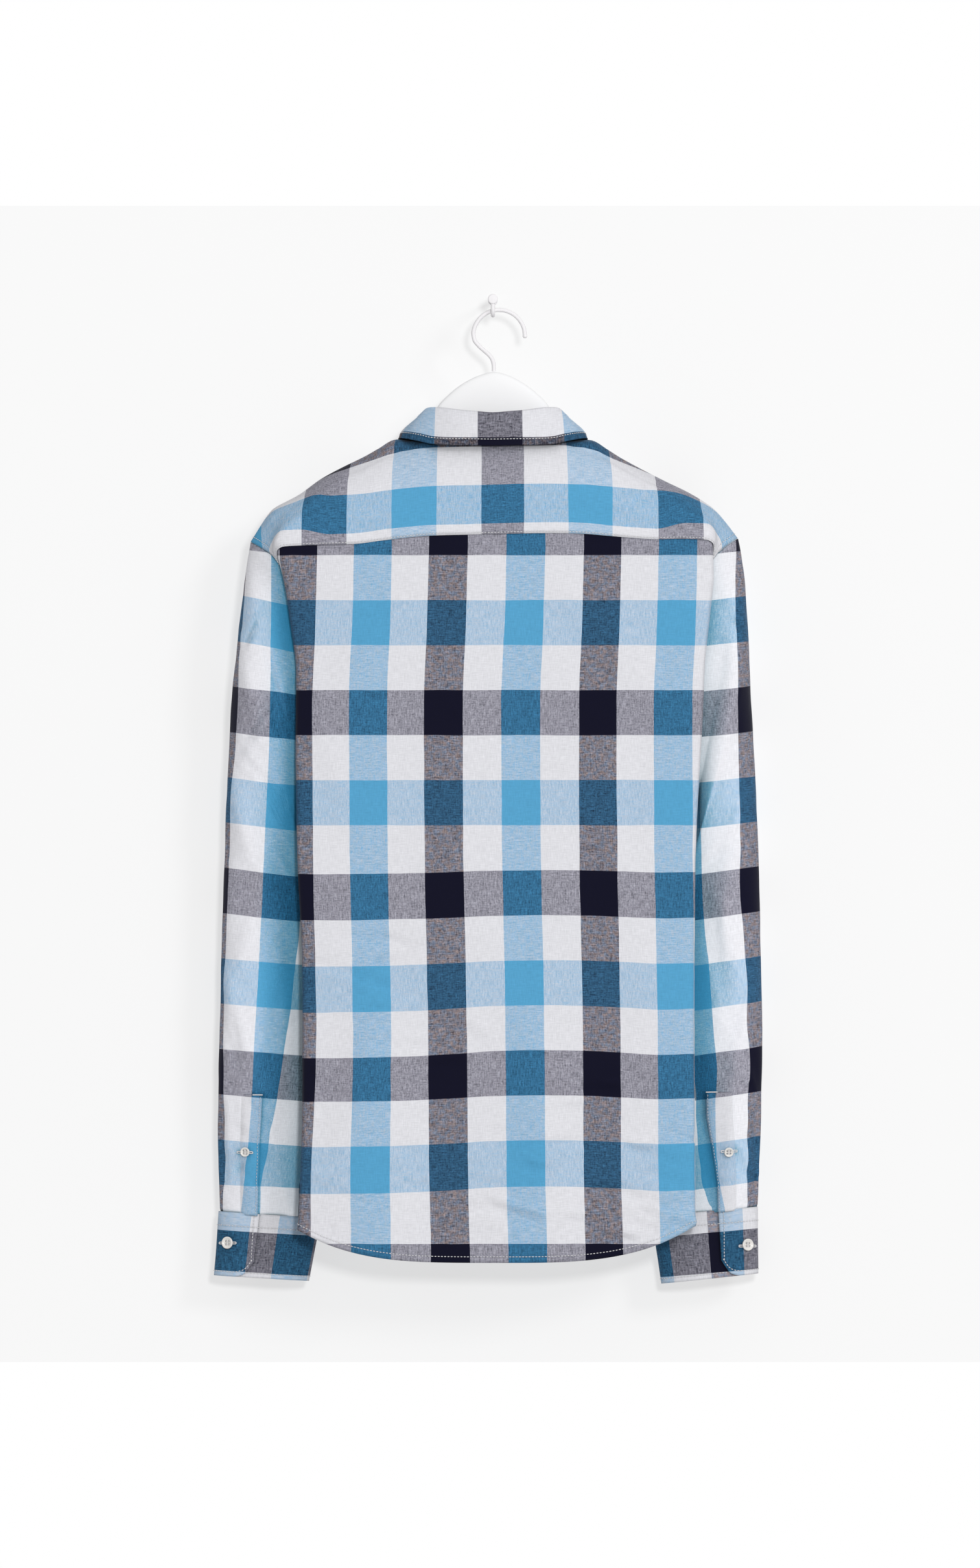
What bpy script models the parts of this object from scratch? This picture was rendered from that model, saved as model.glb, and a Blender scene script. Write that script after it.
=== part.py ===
"""Long-sleeved linen shirt hung on a wooden hanger, which hangs by its wire from a wall hook.

The origin is the centre of the wall hook's flat back face, on the wall. +Z is up, +Y points into
the wall, and the shirt's back faces -Y, so +X is the wearer's right. Tables and sizes are in
millimetres, and Scene turns them into metres. Each cloth piece is a grid of points on its
outer face, thickened inwards by a Solidify modifier, and pieces stay a seam gap apart.
"""

import math
from collections import namedtuple

import bmesh
import bpy
import numpy as np
from mathutils import Matrix, Vector

MM = 0.001

# Driving dimensions, in millimetres.
CLOTH = 1.2                 # linen with its turned edges, as one wall
CUFF_CLOTH = 2.0            # two layers and their interlining
GAP = 0.3                   # between pieces that are sewn or lie on each other
HANGER_Y = -54.0            # plane of the hanger, measured from the wall
BACK_Y = -101.0             # back panel at the middle of the yoke seam
BACK_TURN_X = 193.0         # beyond this the yoke turns round the shoulder end
YOKE_JOIN_X = 60.0          # where the yoke's middle meets its shoulders, under the collar
NECK_HALF_WIDTH = 78.0
NECK_BACK_Z = -134.0
NECK_SIDE_DROP = -4.0
NECK_FRONT_DROP = 41.0
NECK_FRONT_REACH = 40.0
COLLAR_SEAT = 70.0          # half-width of the collar where it rolls over
NECK_SEAM_ANGLE = 128.0     # where the yoke's front seam meets the neckline
ARCH_RISE, ARCH_DEPTH = 2.4, 2.0      # squareness of the yoke over the hanger
FOLD_RADIUS = 7.0           # of the back panel's turned sides
HEM_Z, HEM_LIFT, HEM_POWER = -893.0, 33.0, 3.5
FRONT_HEM_Z = -878.0
PLACKET_HALF = 17.5
CUFF_OVERLAP = 22.0
CUFF_CORNER = 15.0
BUTTON_BIG, BUTTON_SMALL, BUTTON_THICK = 11.4, 9.0, 2.6
FRONT_BUTTONS, FIRST_BUTTON_Z, BUTTON_STEP = 7, -214.0, 86.0

# Columns across the back and the yoke, counted from an armhole to the middle.
FLAT_CELLS, TURN_CELLS, TAIL_CELLS, MIDDLE_CELLS = 6, 3, 1, 8
SHOULDER_CELLS = FLAT_CELLS + TURN_CELLS + TAIL_CELLS
YOKE_BACK_ROWS, YOKE_TOP_ROWS, YOKE_FRONT_ROWS = 4, 3, 4
BODY_ROWS = 10
NECK_CELLS = 5

# Angles round a sleeve, from its outer edge over the back: at the armhole, and near the cuff.
YOKE_ANGLE, YOKE_FRONT_ANGLE = 34.3, 324.0
ARMHOLE_BACK = (55.0, 76.0, 100.0, 130.0, 180.0)
ARMHOLE_FRONT = (230.0, 260.0, 284.0, 305.0, YOKE_FRONT_ANGLE)
LOW_ANGLES = (0, 8, 17, 26, 35, 44, 53, 66, 79, 100, 122, 150, 180,
              205, 228, 250, 270, 290, 308, 326, 343)
PLACKET_FIRST, PLACKET_LAST = 6, 8
SLEEVE_STATIONS = (0, .5, 1, 1.5, 2, 2.7, 3.5, 4.3, 5.2, 6, 6.65, 7.2, 7.7, 8)
PLACKET_TOP_ROW = 10

Level = namedtuple("Level", "z left right")
BACK_EDGE = (                # where the back panel folds away at each side
    Level(-236, -200, 204), Level(-262, -195, 205), Level(-310, -188, 201),
    Level(-345, -182, 197.5), Level(-420, -183, 193.5), Level(-530, -181, 188),
    Level(-640, -176.7, 187), Level(-740, -176.7, 187.3), Level(-862, -181, 188),
)

Across = namedtuple("Across", "x z")
SHOULDER = (
    Across(-226, -232), Across(-224.7, -225), Across(-221, -218), Across(-214, -208),
    Across(-205, -195.5), Across(-192, -187.5), Across(-177, -179.5), Across(-156, -164.7),
    Across(-135, -153.6), Across(-120, -146.2), Across(-104, -138.2), Across(-92, -131.2),
    Across(-78, -129), Across(-57, -117), Across(0, -88), Across(57, -117), Across(78, -128.6),
    Across(90, -129.6), Across(101, -136.3), Across(112.5, -143.4), Across(151, -164.5),
    Across(182, -179.7), Across(193, -185.7), Across(206.7, -196.5), Across(216, -207.3),
    Across(222, -215), Across(227, -221.7), Across(228, -230),
)
YOKE_SEAM = (
    Across(-226, -250), Across(-200.7, -229.5), Across(-178, -227.7), Across(-132, -226.5),
    Across(-96, -222.3), Across(-60, -218.7), Across(-12, -217.5), Across(48, -216.3),
    Across(72, -216.5), Across(120, -219.9), Across(150, -222), Across(180, -221.5),
    Across(203, -223), Across(228, -246),
)

Ring = namedtuple("Ring", "outer_x outer_z inner_x inner_z outer_y inner_y depth square")
SLEEVE_LEFT = (
    Ring(-224.7, -225.0, -167, -455, -54, -46, 31, 6.0),
    Ring(-230.5, -262.0, -172, -478, -47, -45, 31, 4.6),
    Ring(-238.0, -330.0, -173, -508, -44, -44, 30, 3.6),
    Ring(-244.5, -400.0, -160, -548, -41, -41, 28, 3.2),
    Ring(-248.0, -490.0, -150, -605, -38, -38, 27, 3.0),
    Ring(-251.7, -584.0, -147, -668, -36, -36, 26, 2.8),
    Ring(-253.6, -680.0, -150, -735, -35, -35, 24, 2.6),
    Ring(-255.3, -764.0, -155, -793, -34, -34, 22, 2.5),
    Ring(-253.5, -845.7, -159, -852, -33, -33, 19, 2.4),
)
SLEEVE_RIGHT = (
    Ring(227.1, -221.7, 176, -452, -54, -46, 31, 6.0),
    Ring(233.4, -260.0, 187, -476, -47, -42, 29, 4.6),
    Ring(237.6, -330.0, 187, -506, -44, -44, 30, 3.6),
    Ring(240.6, -400.0, 173, -546, -41, -41, 28, 3.2),
    Ring(245.9, -490.0, 156, -603, -38, -38, 27, 3.0),
    Ring(248.2, -584.0, 148, -668, -36, -36, 26, 2.8),
    Ring(250.2, -680.0, 145, -735, -35, -35, 24, 2.6),
    Ring(248.7, -764.0, 146, -793, -34, -34, 22, 2.5),
    Ring(245.4, -841.5, 146.5, -850, -33, -33, 19, 2.4),
)
CUFF_LEFT = (
    Ring(-254.4, -846.2, -159.5, -852.5, -33, -33, 19, 2.4),
    Ring(-258.9, -905.7, -170.7, -911.0, -34, -34, 17, 2.4),
)
CUFF_RIGHT = (
    Ring(245.8, -842.0, 146.5, -850.5, -33, -33, 19, 2.4),
    Ring(246.3, -904.0, 156.3, -913.5, -34, -34, 17, 2.4),
)

Side = namedtuple("Side", "name sign rings cuff slit_top slit_low cuff_end button_z")
LEFT = Side("left", -1, SLEEVE_LEFT, CUFF_LEFT, .40, .37, .40, -875.4)
RIGHT = Side("right", 1, SLEEVE_RIGHT, CUFF_RIGHT, .50, .37, .37, -877.2)
GAUNTLET_BUTTON_Z = -791.0

Body = namedtuple("Body", "z seam_in seam_y side_y centre_y bulge_in bulge_out")
BODY = (                     # the side seam, and how the front swells towards the wall
    Body(-150, 16, -30, -30, -16, 150, 200), Body(-245, 16, -27, -27, -13, 150, 200),
    Body(-300, 16, -23, -23, -12, 150, 190), Body(-430, 16, -24, -24, -12, 148, 172),
    Body(-455, 16, -46, -42, -13, 140, 170), Body(-480, 15, -56, -54, -14, 125, 168),
    Body(-510, 14, -66, -64, -15, 100, 164), Body(-560, 13, -73, -69, -17, 80, 158),
    Body(-700, 13, -75, -70, -22, 72, 155), Body(-880, 13, -75, -70, -30, 70, 155),
)

Crease = namedtuple("Crease", "x top bottom width depth drift")
BACK_FOLDS = (
    Crease(-112, -560, -900, 34, 2.5, 6), Crease(-38, -470, -900, 40, -2.2, -8),
    Crease(44, -610, -900, 34, 2.6, 5), Crease(118, -430, -900, 38, -2.4, -6),
)
FRONT_FOLDS = (
    Crease(-118, -400, -900, 15, -6, 8), Crease(-84, -460, -900, 16, 8, 6),
    Crease(-46, -330, -900, 15, -5, 3), Crease(48, -360, -900, 16, -5, -4),
    Crease(88, -430, -900, 16, 7, -6), Crease(124, -470, -900, 15, -6, -8),
)

Turn = namedtuple("Turn", "angle roll edge_angle")
COLLAR_ROLL = (
    Turn(0, -105.5, 0), Turn(25, -103.2, 28), Turn(45, -100.6, 50), Turn(55, -100.2, 62),
    Turn(63, -103.2, 72), Turn(77, -108.6, 88), Turn(90, -112.8, 101), Turn(105, -119, 112),
    Turn(120, -126.5, 125), Turn(150, -142, 142), Turn(172, -149, 149),
)
Leaf = namedtuple("Leaf", "angle z")
COLLAR_EDGE = (
    Leaf(0, -136.5), Leaf(36, -135.3), Leaf(55, -131.3), Leaf(75, -129), Leaf(90, -129.5),
    Leaf(107, -139), Leaf(122, -160), Leaf(136, -190), Leaf(149, -217),
)
COLLAR_CELLS = (0, 12, 24, 36, 47, 57, 67, 78, 90, 106, 122, 140, 157, 172)

Bar = namedtuple("Bar", "x top low half")
HANGER = (
    Bar(-209, -205, -211, 2.5), Bar(-207, -203, -215.5, 5), Bar(-201, -198.2, -220, 6.5),
    Bar(-190, -191.5, -216, 7), Bar(-177, -184.3, -209, 7), Bar(-156, -170, -197, 7),
    Bar(-135, -158.3, -186, 7), Bar(-112, -148.3, -177, 7), Bar(-90, -142.5, -170, 7),
    Bar(-74, -142, -164, 7), Bar(-64, -134, -160, 7), Bar(-56, -114, -158, 7),
    Bar(-51, -99.5, -157, 7), Bar(-42, -89.5, -155, 7), Bar(-29, -79, -153, 7),
    Bar(-12, -70.5, -151, 7), Bar(1, -67.5, -150, 7), Bar(14, -70.5, -151, 7),
    Bar(30, -79, -153, 7), Bar(42, -88.5, -155, 7), Bar(51, -98, -157, 7),
    Bar(57, -113, -158, 7), Bar(65, -134, -160, 7), Bar(76, -142, -164, 7),
    Bar(92, -142, -170, 7), Bar(111, -148, -177, 7), Bar(135, -160.5, -186, 7),
    Bar(151, -169, -195, 7), Bar(182, -185, -212, 7), Bar(193, -191.5, -219, 7),
    Bar(203, -198.5, -222, 6.5), Bar(209, -203.5, -217, 5), Bar(211, -207, -213, 2.5),
)
WIRE_RADIUS = 1.95
WIRE_BEND = (5.7, -33.9, 24.0)       # x and z of the crook's centre, and its radius
WIRE_NECK = ((-17.2, -37.6), (-13.6, -42.6), (-8.4, -47.4), (-3.4, -51.9), (-.3, -56.5),
             (.8, -61.5), (.9, -67.0))
HOOK_ROD = 2.0
HOOK_BEND = 6.0
HOOK_LOW_Z = -14.9
KNOB_RADIUS, KNOB_THICK = 4.65, 4.5
FLANGE_RADIUS, FLANGE_THICK = 4.5, 3.5

Paint = namedtuple("Paint", "colour roughness")
LINEN_PAINT = Paint((.42, .55, .66), .9)
TRIM_PAINT = Paint((.16, .22, .32), .9)
BUTTON_PAINT = Paint((.88, .87, .84), .35)
WHITE_PAINT = Paint((.86, .86, .86), .4)


def through(rows, key, value):
    """A smooth function through two columns of a table, which never overshoots its rows."""
    pairs = sorted((getattr(row, key), getattr(row, value)) for row in rows)
    at = np.array([pair[0] for pair in pairs], float)
    height = np.array([pair[1] for pair in pairs], float)
    step, rise = np.diff(at), np.diff(height)
    chord = rise / step
    slope = np.zeros(len(at))
    level = chord[:-1] * chord[1:] <= 0
    mean = 2 * chord[:-1] * chord[1:] / np.where(level, 1, chord[:-1] + chord[1:])
    slope[1:-1] = np.where(level, 0, mean)
    slope[0], slope[-1] = chord[0], chord[-1]

    def read(where):
        where = np.clip(np.asarray(where, float), at[0], at[-1])
        i = np.clip(np.searchsorted(at, where) - 1, 0, len(step) - 1)
        t = (where - at[i]) / step[i]
        start = height[i] + t * t * (3 - 2 * t) * rise[i]
        return start + step[i] * t * (1 - t) * ((1 - t) * slope[i] - t * slope[i + 1])

    return read


def numbered(rows, value):
    """A smooth function of the row number through one column of a table."""
    Row = namedtuple("Row", "number value")
    return through([Row(i, getattr(row, value)) for i, row in enumerate(rows)], "number", "value")


def smooth(t):
    t = np.clip(t, 0, 1)
    return t * t * (3 - 2 * t)


def mix(a, b, t):
    return a + (b - a) * t


shoulder_z = through(SHOULDER, "x", "z")
yoke_seam_z = through(YOKE_SEAM, "x", "z")
left_edge_x = through(BACK_EDGE, "z", "left")
right_edge_x = through(BACK_EDGE, "z", "right")
body_at = {name: through(BODY, "z", name) for name in Body._fields[1:]}


def edge_x(sign, z):
    return left_edge_x(z) if sign < 0 else right_edge_x(z)


def folds(creases, x, z):
    """How far the cloth stands out of its plain form in soft folds that grow downwards."""
    out = np.zeros(np.broadcast(x, z).shape)
    for fold in creases:
        down = np.clip((fold.top - z) / (fold.top - fold.bottom), 0, 1)
        middle = fold.x + fold.drift * down
        out = out + fold.depth * smooth(down * 1.6) * np.exp(-(((x - middle) / fold.width) ** 2))
    return out


def back_y(x, z):
    """The back panel and the yoke's back, as a depth for each point seen from behind."""
    aside = np.abs(x)
    plain = BACK_Y + 6 * (aside / 195) ** 3 + .5 * np.maximum(aside - BACK_TURN_X, 0)
    return plain + 3 * smooth((-230 - z) / 250) - folds(BACK_FOLDS, x, z)


def front_reach(x):
    """How far the yoke's front lies behind the hanger's plane."""
    return 30 + 3 * smooth((np.abs(x) - 62) / 80) - 9 * smooth((np.abs(x) - 185) / 40)


def front_seam_z(x):
    return -152 - .68 * (np.abs(x) - 62)


def arch(x, turn):
    """A point of the yoke: turn is 0 on the back seam, 1 on the shoulder line, 2 on the front."""
    x, turn = np.broadcast_arrays(np.asarray(x, float), np.asarray(turn, float))
    behind = turn > 1
    low = np.where(behind, front_seam_z(x), yoke_seam_z(x))
    reach = np.where(behind, front_reach(x), back_y(x, -200.0) - HANGER_Y)
    rise = np.abs(np.sin(turn * math.pi / 2)) ** (2 / ARCH_RISE)
    out = np.abs(np.cos(turn * math.pi / 2)) ** (2 / ARCH_DEPTH)
    return np.stack([x, HANGER_Y + reach * out, low + (shoulder_z(x) - low) * rise], -1)


def arch_turn(x, z, behind):
    """The turn at which the arch reaches height z."""
    low = np.where(behind, front_seam_z(x), yoke_seam_z(x))
    rise = np.clip((z - low) / (shoulder_z(x) - low), 0, 1)
    turn = np.arcsin(rise ** (ARCH_RISE / 2)) * 2 / math.pi
    return np.where(behind, 2 - turn, turn)


def neck_plan(degrees):
    """x and z of the neckline, and its turn on the yoke: 0 degrees is the middle of the back."""
    angle = np.radians(degrees)
    x = NECK_HALF_WIDTH * np.sin(angle)
    forward = np.maximum(-np.cos(angle), 0)
    z = NECK_BACK_Z - NECK_SIDE_DROP * np.where(forward > 0, 1, np.sin(angle) ** 2)
    z = z - NECK_FRONT_DROP * forward ** 2.2
    return x, z, arch_turn(x, z, forward > 0)


def neck(degrees):
    """The neckline in space."""
    x, z, turn = neck_plan(degrees)
    forward = np.maximum(-np.cos(np.radians(degrees)), 0)
    point = arch(x, turn)
    front_y = HANGER_Y + NECK_FRONT_REACH * forward ** .8
    point[..., 1] = np.where(forward > 0, front_y, point[..., 1])
    point[..., 2] = z
    return point


def ring(rows, station, degrees, bow=0.0, inset=0.0):
    """Points round a sleeve or a cuff: 0 degrees is its outer edge, 90 the middle of its back."""
    read = {name: numbered(rows, name)(station) for name in Ring._fields}
    angle = np.radians(degrees)
    across = (1 - np.cos(angle)) / 2
    curved = mix(across, 1 - (1 - across) ** 7.5, bow)
    around = np.clip(1 - np.abs(np.cos(angle)) ** read["square"], 0, 1) ** .5
    depth = (read["depth"] - inset) * around * np.sign(np.sin(angle))
    share = inset / np.hypot(read["inner_x"] - read["outer_x"], read["inner_z"] - read["outer_z"])
    x = mix(read["outer_x"], read["inner_x"], mix(share, 1 - share, curved))
    z = mix(read["outer_z"], read["inner_z"], mix(share, 1 - share, across))
    return np.stack([x, mix(read["outer_y"], read["inner_y"], across) - depth, z], -1)


def armhole(side, degrees, inset=0.0):
    return ring(side.rings, 0.0, degrees, 1.0, inset)


def side_levels(side):
    """Heights of the body's rows at the side: down the armhole, then down the side seam."""
    arm = armhole(side, np.array((YOKE_ANGLE,) + ARMHOLE_BACK))[:, 2]
    low = np.linspace(arm[-1], HEM_Z + HEM_LIFT + 2, BODY_ROWS + 1)[1:]
    return arm, low


def side_seam(side, z):
    """The side seam below the armhole."""
    x = edge_x(side.sign, z) - side.sign * body_at["seam_in"](z)
    return np.stack([x, body_at["seam_y"](z), z], -1)


def hem_z(x, low):
    return low + HEM_LIFT * (np.abs(x) / 185) ** HEM_POWER


def turned_side(side, z, top, end):
    """One row of a folded side, from the yoke join out to the seam: flat, turned, then a tail."""
    edge = float(edge_x(side.sign, z))
    centre_x = abs(edge) - FOLD_RADIUS
    flat = np.linspace(YOKE_JOIN_X, centre_x, FLAT_CELLS + 1)
    turn = np.radians(mix(110, 158, float(smooth((-236 - z) / 90))))
    angle = np.linspace(0, turn, TURN_CELLS + 1)[1:]
    x = side.sign * np.concatenate([flat, centre_x + FOLD_RADIUS * np.sin(angle)])
    face = float(back_y(side.sign * centre_x, z))
    y = np.concatenate([back_y(side.sign * flat, z), face + FOLD_RADIUS * (1 - np.cos(angle))])
    row = np.stack([x, y, np.full(len(x), float(z))], -1)
    row[:, 2] = top(row[:, 0], np.concatenate([np.zeros(len(flat)), angle / turn]))
    return np.concatenate([row, end[None]])


def across_row(z, top, ends):
    """One row of the back, from the left seam round both folds to the right seam."""
    middle_x = np.linspace(-YOKE_JOIN_X, YOKE_JOIN_X, MIDDLE_CELLS + 1)[1:-1]
    middle = np.stack([middle_x, back_y(middle_x, z), top(middle_x, np.zeros(len(middle_x)))], -1)
    left = turned_side(LEFT, z, top, ends[0])[::-1]
    right = turned_side(RIGHT, z, top, ends[1])
    return np.concatenate([left, middle, right])


def seam_row(shift):
    """The seam between the yoke and the back panel."""
    ends = [armhole(side, YOKE_ANGLE) for side in (LEFT, RIGHT)]

    def top(x, turned):
        return yoke_seam_z(x) - 9 * turned ** 2 + shift

    row = across_row(-236, top, ends)
    row[0, 2] += shift
    row[-1, 2] += shift
    return row


def back_grid():
    """The back panel: each row is level in its middle and meets the armholes or side seams."""
    arm, low = side_levels(LEFT)
    arm_right, low_right = side_levels(RIGHT)
    levels = np.concatenate([arm, low])
    levels_right = np.concatenate([arm_right, low_right])
    rows = [seam_row(-GAP / 2)]
    for i in range(1, len(levels)):
        share = (levels[0] - levels[i]) / (levels[0] - levels[-1])

        def top(x, turned, share=share):
            start = yoke_seam_z(x) - 9 * turned ** 2
            return mix(start, hem_z(x, HEM_Z), share)

        if i < len(arm):
            angle = ((YOKE_ANGLE,) + ARMHOLE_BACK)[i]
            ends = [armhole(side, angle) for side in (LEFT, RIGHT)]
        else:
            ends = [side_seam(LEFT, levels[i]), side_seam(RIGHT, levels_right[i])]
        for end in ends:
            end[1] -= GAP / 2
        rows.append(across_row((levels[i] + levels_right[i]) / 2, top, ends))
    return np.stack(rows)


def shoulder_shares():
    """Where the yoke's shoulder columns stand, from the yoke join (0) to the armhole (1)."""
    row = seam_row(0.0)[-SHOULDER_CELLS - 1:]
    along = np.concatenate([[0], np.cumsum(np.linalg.norm(np.diff(row, axis=0), axis=1))])
    return along / along[-1]


def yoke_grid():
    """The yoke, a U round the neck. Cells under the collar's opening are left out by yoke_holds."""
    rows = YOKE_BACK_ROWS + YOKE_TOP_ROWS + YOKE_FRONT_ROWS
    columns = 2 * SHOULDER_CELLS + MIDDLE_CELLS
    grid = np.zeros((rows + 1, columns + 1, 3))
    seam = seam_row(GAP / 2)
    join_angle = math.degrees(math.asin(YOKE_JOIN_X / NECK_HALF_WIDTH))
    over = YOKE_BACK_ROWS + YOKE_TOP_ROWS
    neck_angles = np.concatenate([np.full(YOKE_BACK_ROWS, join_angle),
                                  np.linspace(join_angle, 90, YOKE_TOP_ROWS + 1),
                                  np.linspace(90, NECK_SEAM_ANGLE, YOKE_FRONT_ROWS + 1)[1:]])
    arm_angles = np.concatenate([np.linspace(YOKE_ANGLE, 0, over + 1),
                                 np.linspace(360, YOKE_FRONT_ANGLE, YOKE_FRONT_ROWS + 1)[1:]])
    arm_turn = np.concatenate([np.linspace(0, 1, over + 1),
                               np.linspace(1, 2, YOKE_FRONT_ROWS + 1)[1:]])
    shares = shoulder_shares()
    back_share = np.arange(YOKE_BACK_ROWS) / YOKE_BACK_ROWS
    for side in (LEFT, RIGHT):
        neck_x, _, neck_turn = neck_plan(neck_angles * side.sign)
        neck_turn[:YOKE_BACK_ROWS] = neck_turn[YOKE_BACK_ROWS] * back_share
        arm = armhole(side, arm_angles)
        x = mix(neck_x[:, None], arm[:, None, 0], shares)
        form = arch(x, mix(neck_turn[:, None], arm_turn[:, None], shares))
        pull = smooth((shares - .7) / .3)[None, :, None]
        form = form + (arm - form[:, -1])[:, None] * pull
        for j in range(YOKE_BACK_ROWS, rows + 1):
            angle = neck_angles[j] * side.sign
            form[j] += (neck(angle) - form[j, 0]) * (1 - smooth(shares / .3))[:, None]
        if side.sign < 0:
            grid[:, :SHOULDER_CELLS + 1] = form[:, ::-1]
        else:
            grid[:, columns - SHOULDER_CELLS:] = form
    for i in range(1, MIDDLE_CELLS):
        angle = mix(-join_angle, join_angle, i / MIDDLE_CELLS)
        neck_x, _, neck_turn = neck_plan(np.array(angle))
        up = np.arange(YOKE_BACK_ROWS + 1) / YOKE_BACK_ROWS
        x = mix(seam[SHOULDER_CELLS + i, 0], neck_x, up)
        grid[:YOKE_BACK_ROWS + 1, SHOULDER_CELLS + i] = arch(x, neck_turn * up)
    fade = smooth(1 - np.arange(rows + 1) / YOKE_BACK_ROWS)
    grid += (seam - grid[0])[None] * fade[:, None, None]
    return grid


def yoke_holds(row, column):
    """Whether a cell of the yoke's grid is cloth: the neck opening is left out."""
    middle = SHOULDER_CELLS <= column < SHOULDER_CELLS + MIDDLE_CELLS
    return row < YOKE_BACK_ROWS or not middle


def front_y(x, z):
    """The front's face, which swells towards the wall between the sleeves."""
    aside = np.abs(x)
    swell = 1 - smooth((aside - body_at["bulge_in"](z)) /
                       (body_at["bulge_out"](z) - body_at["bulge_in"](z)))
    return mix(body_at["side_y"](z), body_at["centre_y"](z), swell) + folds(FRONT_FOLDS, x, z)


def front_grid(side, yoke):
    """One front, from its armhole and side seam to its edge past the middle."""
    seam = yoke[-1, :SHOULDER_CELLS + 1] if side.sign < 0 else yoke[-1, ::-1][:SHOULDER_CELLS + 1]
    neck_x = seam[-1, 0]
    edge = -side.sign * PLACKET_HALF
    lap_x = np.concatenate([np.linspace(neck_x, side.sign * PLACKET_HALF, NECK_CELLS - 1)[1:], [0, edge]])
    angles = 180 - np.degrees(np.arcsin(np.clip(np.abs(lap_x) / NECK_HALF_WIDTH, 0, 1)))
    lap = neck(angles)
    lap[:, 0] = lap_x
    top = np.concatenate([seam, lap])
    top[:, 2] -= 2 * GAP
    arm, low = side_levels(side)
    levels = np.concatenate([arm, low])
    front_angles = (YOKE_FRONT_ANGLE,) + ARMHOLE_FRONT[-2::-1] + (180.0,)
    rows = [top]
    for i in range(1, len(levels)):
        z_side = float(armhole(side, front_angles[i])[2]) if i < len(arm) else levels[i]
        share = (levels[0] - z_side) / (levels[0] - levels[-1])
        if i < len(arm):
            start = armhole(side, front_angles[i])
        else:
            start = side_seam(side, levels[i])
        start[0] -= side.sign * GAP * (3 + 4 * smooth((levels[i] + 580) / 70))
        start[1] += GAP / 2
        across = (top[:, 0] - top[0, 0]) / (top[-1, 0] - top[0, 0])
        x = mix(start[0], edge, across)
        z = mix(top[:, 2], hem_z(x, FRONT_HEM_Z), share)
        row = np.stack([x, front_y(x, z), z], -1)
        pull = 1 - smooth(np.abs(x - start[0]) / 45)
        row += (start - row[0]) * pull[:, None]
        rows.append(row)
    grid = np.stack(rows)
    form = front_y(top[:, 0], top[:, 2])
    lift = (top[:, 1] - form)[None] * smooth(1 - np.arange(1, 4) / 4)[:, None]
    grid[1:4, :, 1] += lift
    if side.sign > 0:
        under = smooth((PLACKET_HALF + 14 - np.abs(grid[..., 0])) / 14)
        grid[..., 1] -= (CLOTH + GAP + .4) * under
    return grid


def sleeve_angles(side, station):
    """Angles of the sleeve's columns, easing from the armhole's to those that hold the placket."""
    arm = np.concatenate([np.linspace(0, YOKE_ANGLE, YOKE_BACK_ROWS + YOKE_TOP_ROWS + 1), ARMHOLE_BACK,
                          ARMHOLE_FRONT[:-1], np.linspace(YOKE_FRONT_ANGLE, 360, YOKE_FRONT_ROWS + 1)[:-1]])
    low = np.array(LOW_ANGLES, float)
    slit = mix(side.slit_top, side.slit_low, float(smooth((station - 6.4) / 1.6)))
    slit_angle = math.degrees(math.acos(1 - 2 * slit))
    low[1:PLACKET_LAST + 1] *= slit_angle / LOW_ANGLES[PLACKET_LAST]
    return mix(arm, low, float(smooth(station / 3)))


def sleeve_grid(side):
    rows = []
    for station in SLEEVE_STATIONS:
        bow = 1 - float(smooth(station / 1.2))
        inset = 2 * GAP * (1 - float(smooth(station)))
        rows.append(ring(side.rings, float(station), sleeve_angles(side, station), bow, inset))
    return np.stack(rows)


def cuff_grid(side):
    """A band that laps over its own start, with one rounded corner at the bottom of its end."""
    last = 360 + math.degrees(math.acos(1 - 2 * side.cuff_end))
    width = abs(side.cuff[0].outer_x - side.cuff[0].inner_x)
    first = math.degrees(math.acos(1 - 2 * (side.cuff_end - CUFF_OVERLAP / width)))
    turned = last - 360
    lap = np.array([first, mix(first, turned, .5), turned, turned + 10])
    angles = np.concatenate([lap, np.linspace(turned + 26, 348, 17), [360], np.linspace(367, last, 7)])
    tuck = (CUFF_CLOTH + GAP + .2) * (1 - smooth((angles - turned - 4) / 24))
    rows = []
    for share in (0, .35, .7, 1):
        station = np.full(len(angles), float(share))
        near_end = np.clip(1 - (last - angles) / 26, 0, 1)
        corner = CUFF_CORNER * (1 - np.sqrt(1 - near_end ** 2)) / 60
        station = station * (1 - corner)
        columns = [ring(side.cuff, s, a, 0.0, t) for s, a, t in zip(station, angles, tuck)]
        rows.append(np.stack(columns))
    return np.stack(rows)


def collar_seat(degrees):
    """Plan of the stand's top: where the collar rolls over."""
    angle = np.radians(degrees)
    forward = -np.cos(angle)
    reach = np.where(forward > 0, 42.0, 41.0)
    return COLLAR_SEAT * np.sin(angle), HANGER_Y + reach * forward


def mirrored(angles):
    """Angles from the wearer's left, round the back, to the right."""
    angles = np.array(angles, float)
    return np.concatenate([-angles[:0:-1], angles])


def stand_grid():
    """The collar stand, from the neckline up to the roll, with its ends lapped in front."""
    roll = through(COLLAR_ROLL, "angle", "roll")
    angles = mirrored(COLLAR_CELLS[:-1] + (168, 180, 191))
    low = neck(np.abs(angles))
    low[:, 0] = np.sign(angles) * low[:, 0]
    low[:, 2] += GAP + .25
    x, y = collar_seat(np.abs(angles))
    high = np.stack([x * np.sign(angles), y, roll(np.minimum(np.abs(angles), 172)) - 2.4], -1)
    rows = [mix(low, high, share) for share in (0, .5, 1)]
    grid = np.stack(rows)
    grid[..., 1] -= (CLOTH + GAP + .4) * smooth((angles - 155) / 13)
    return grid


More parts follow.
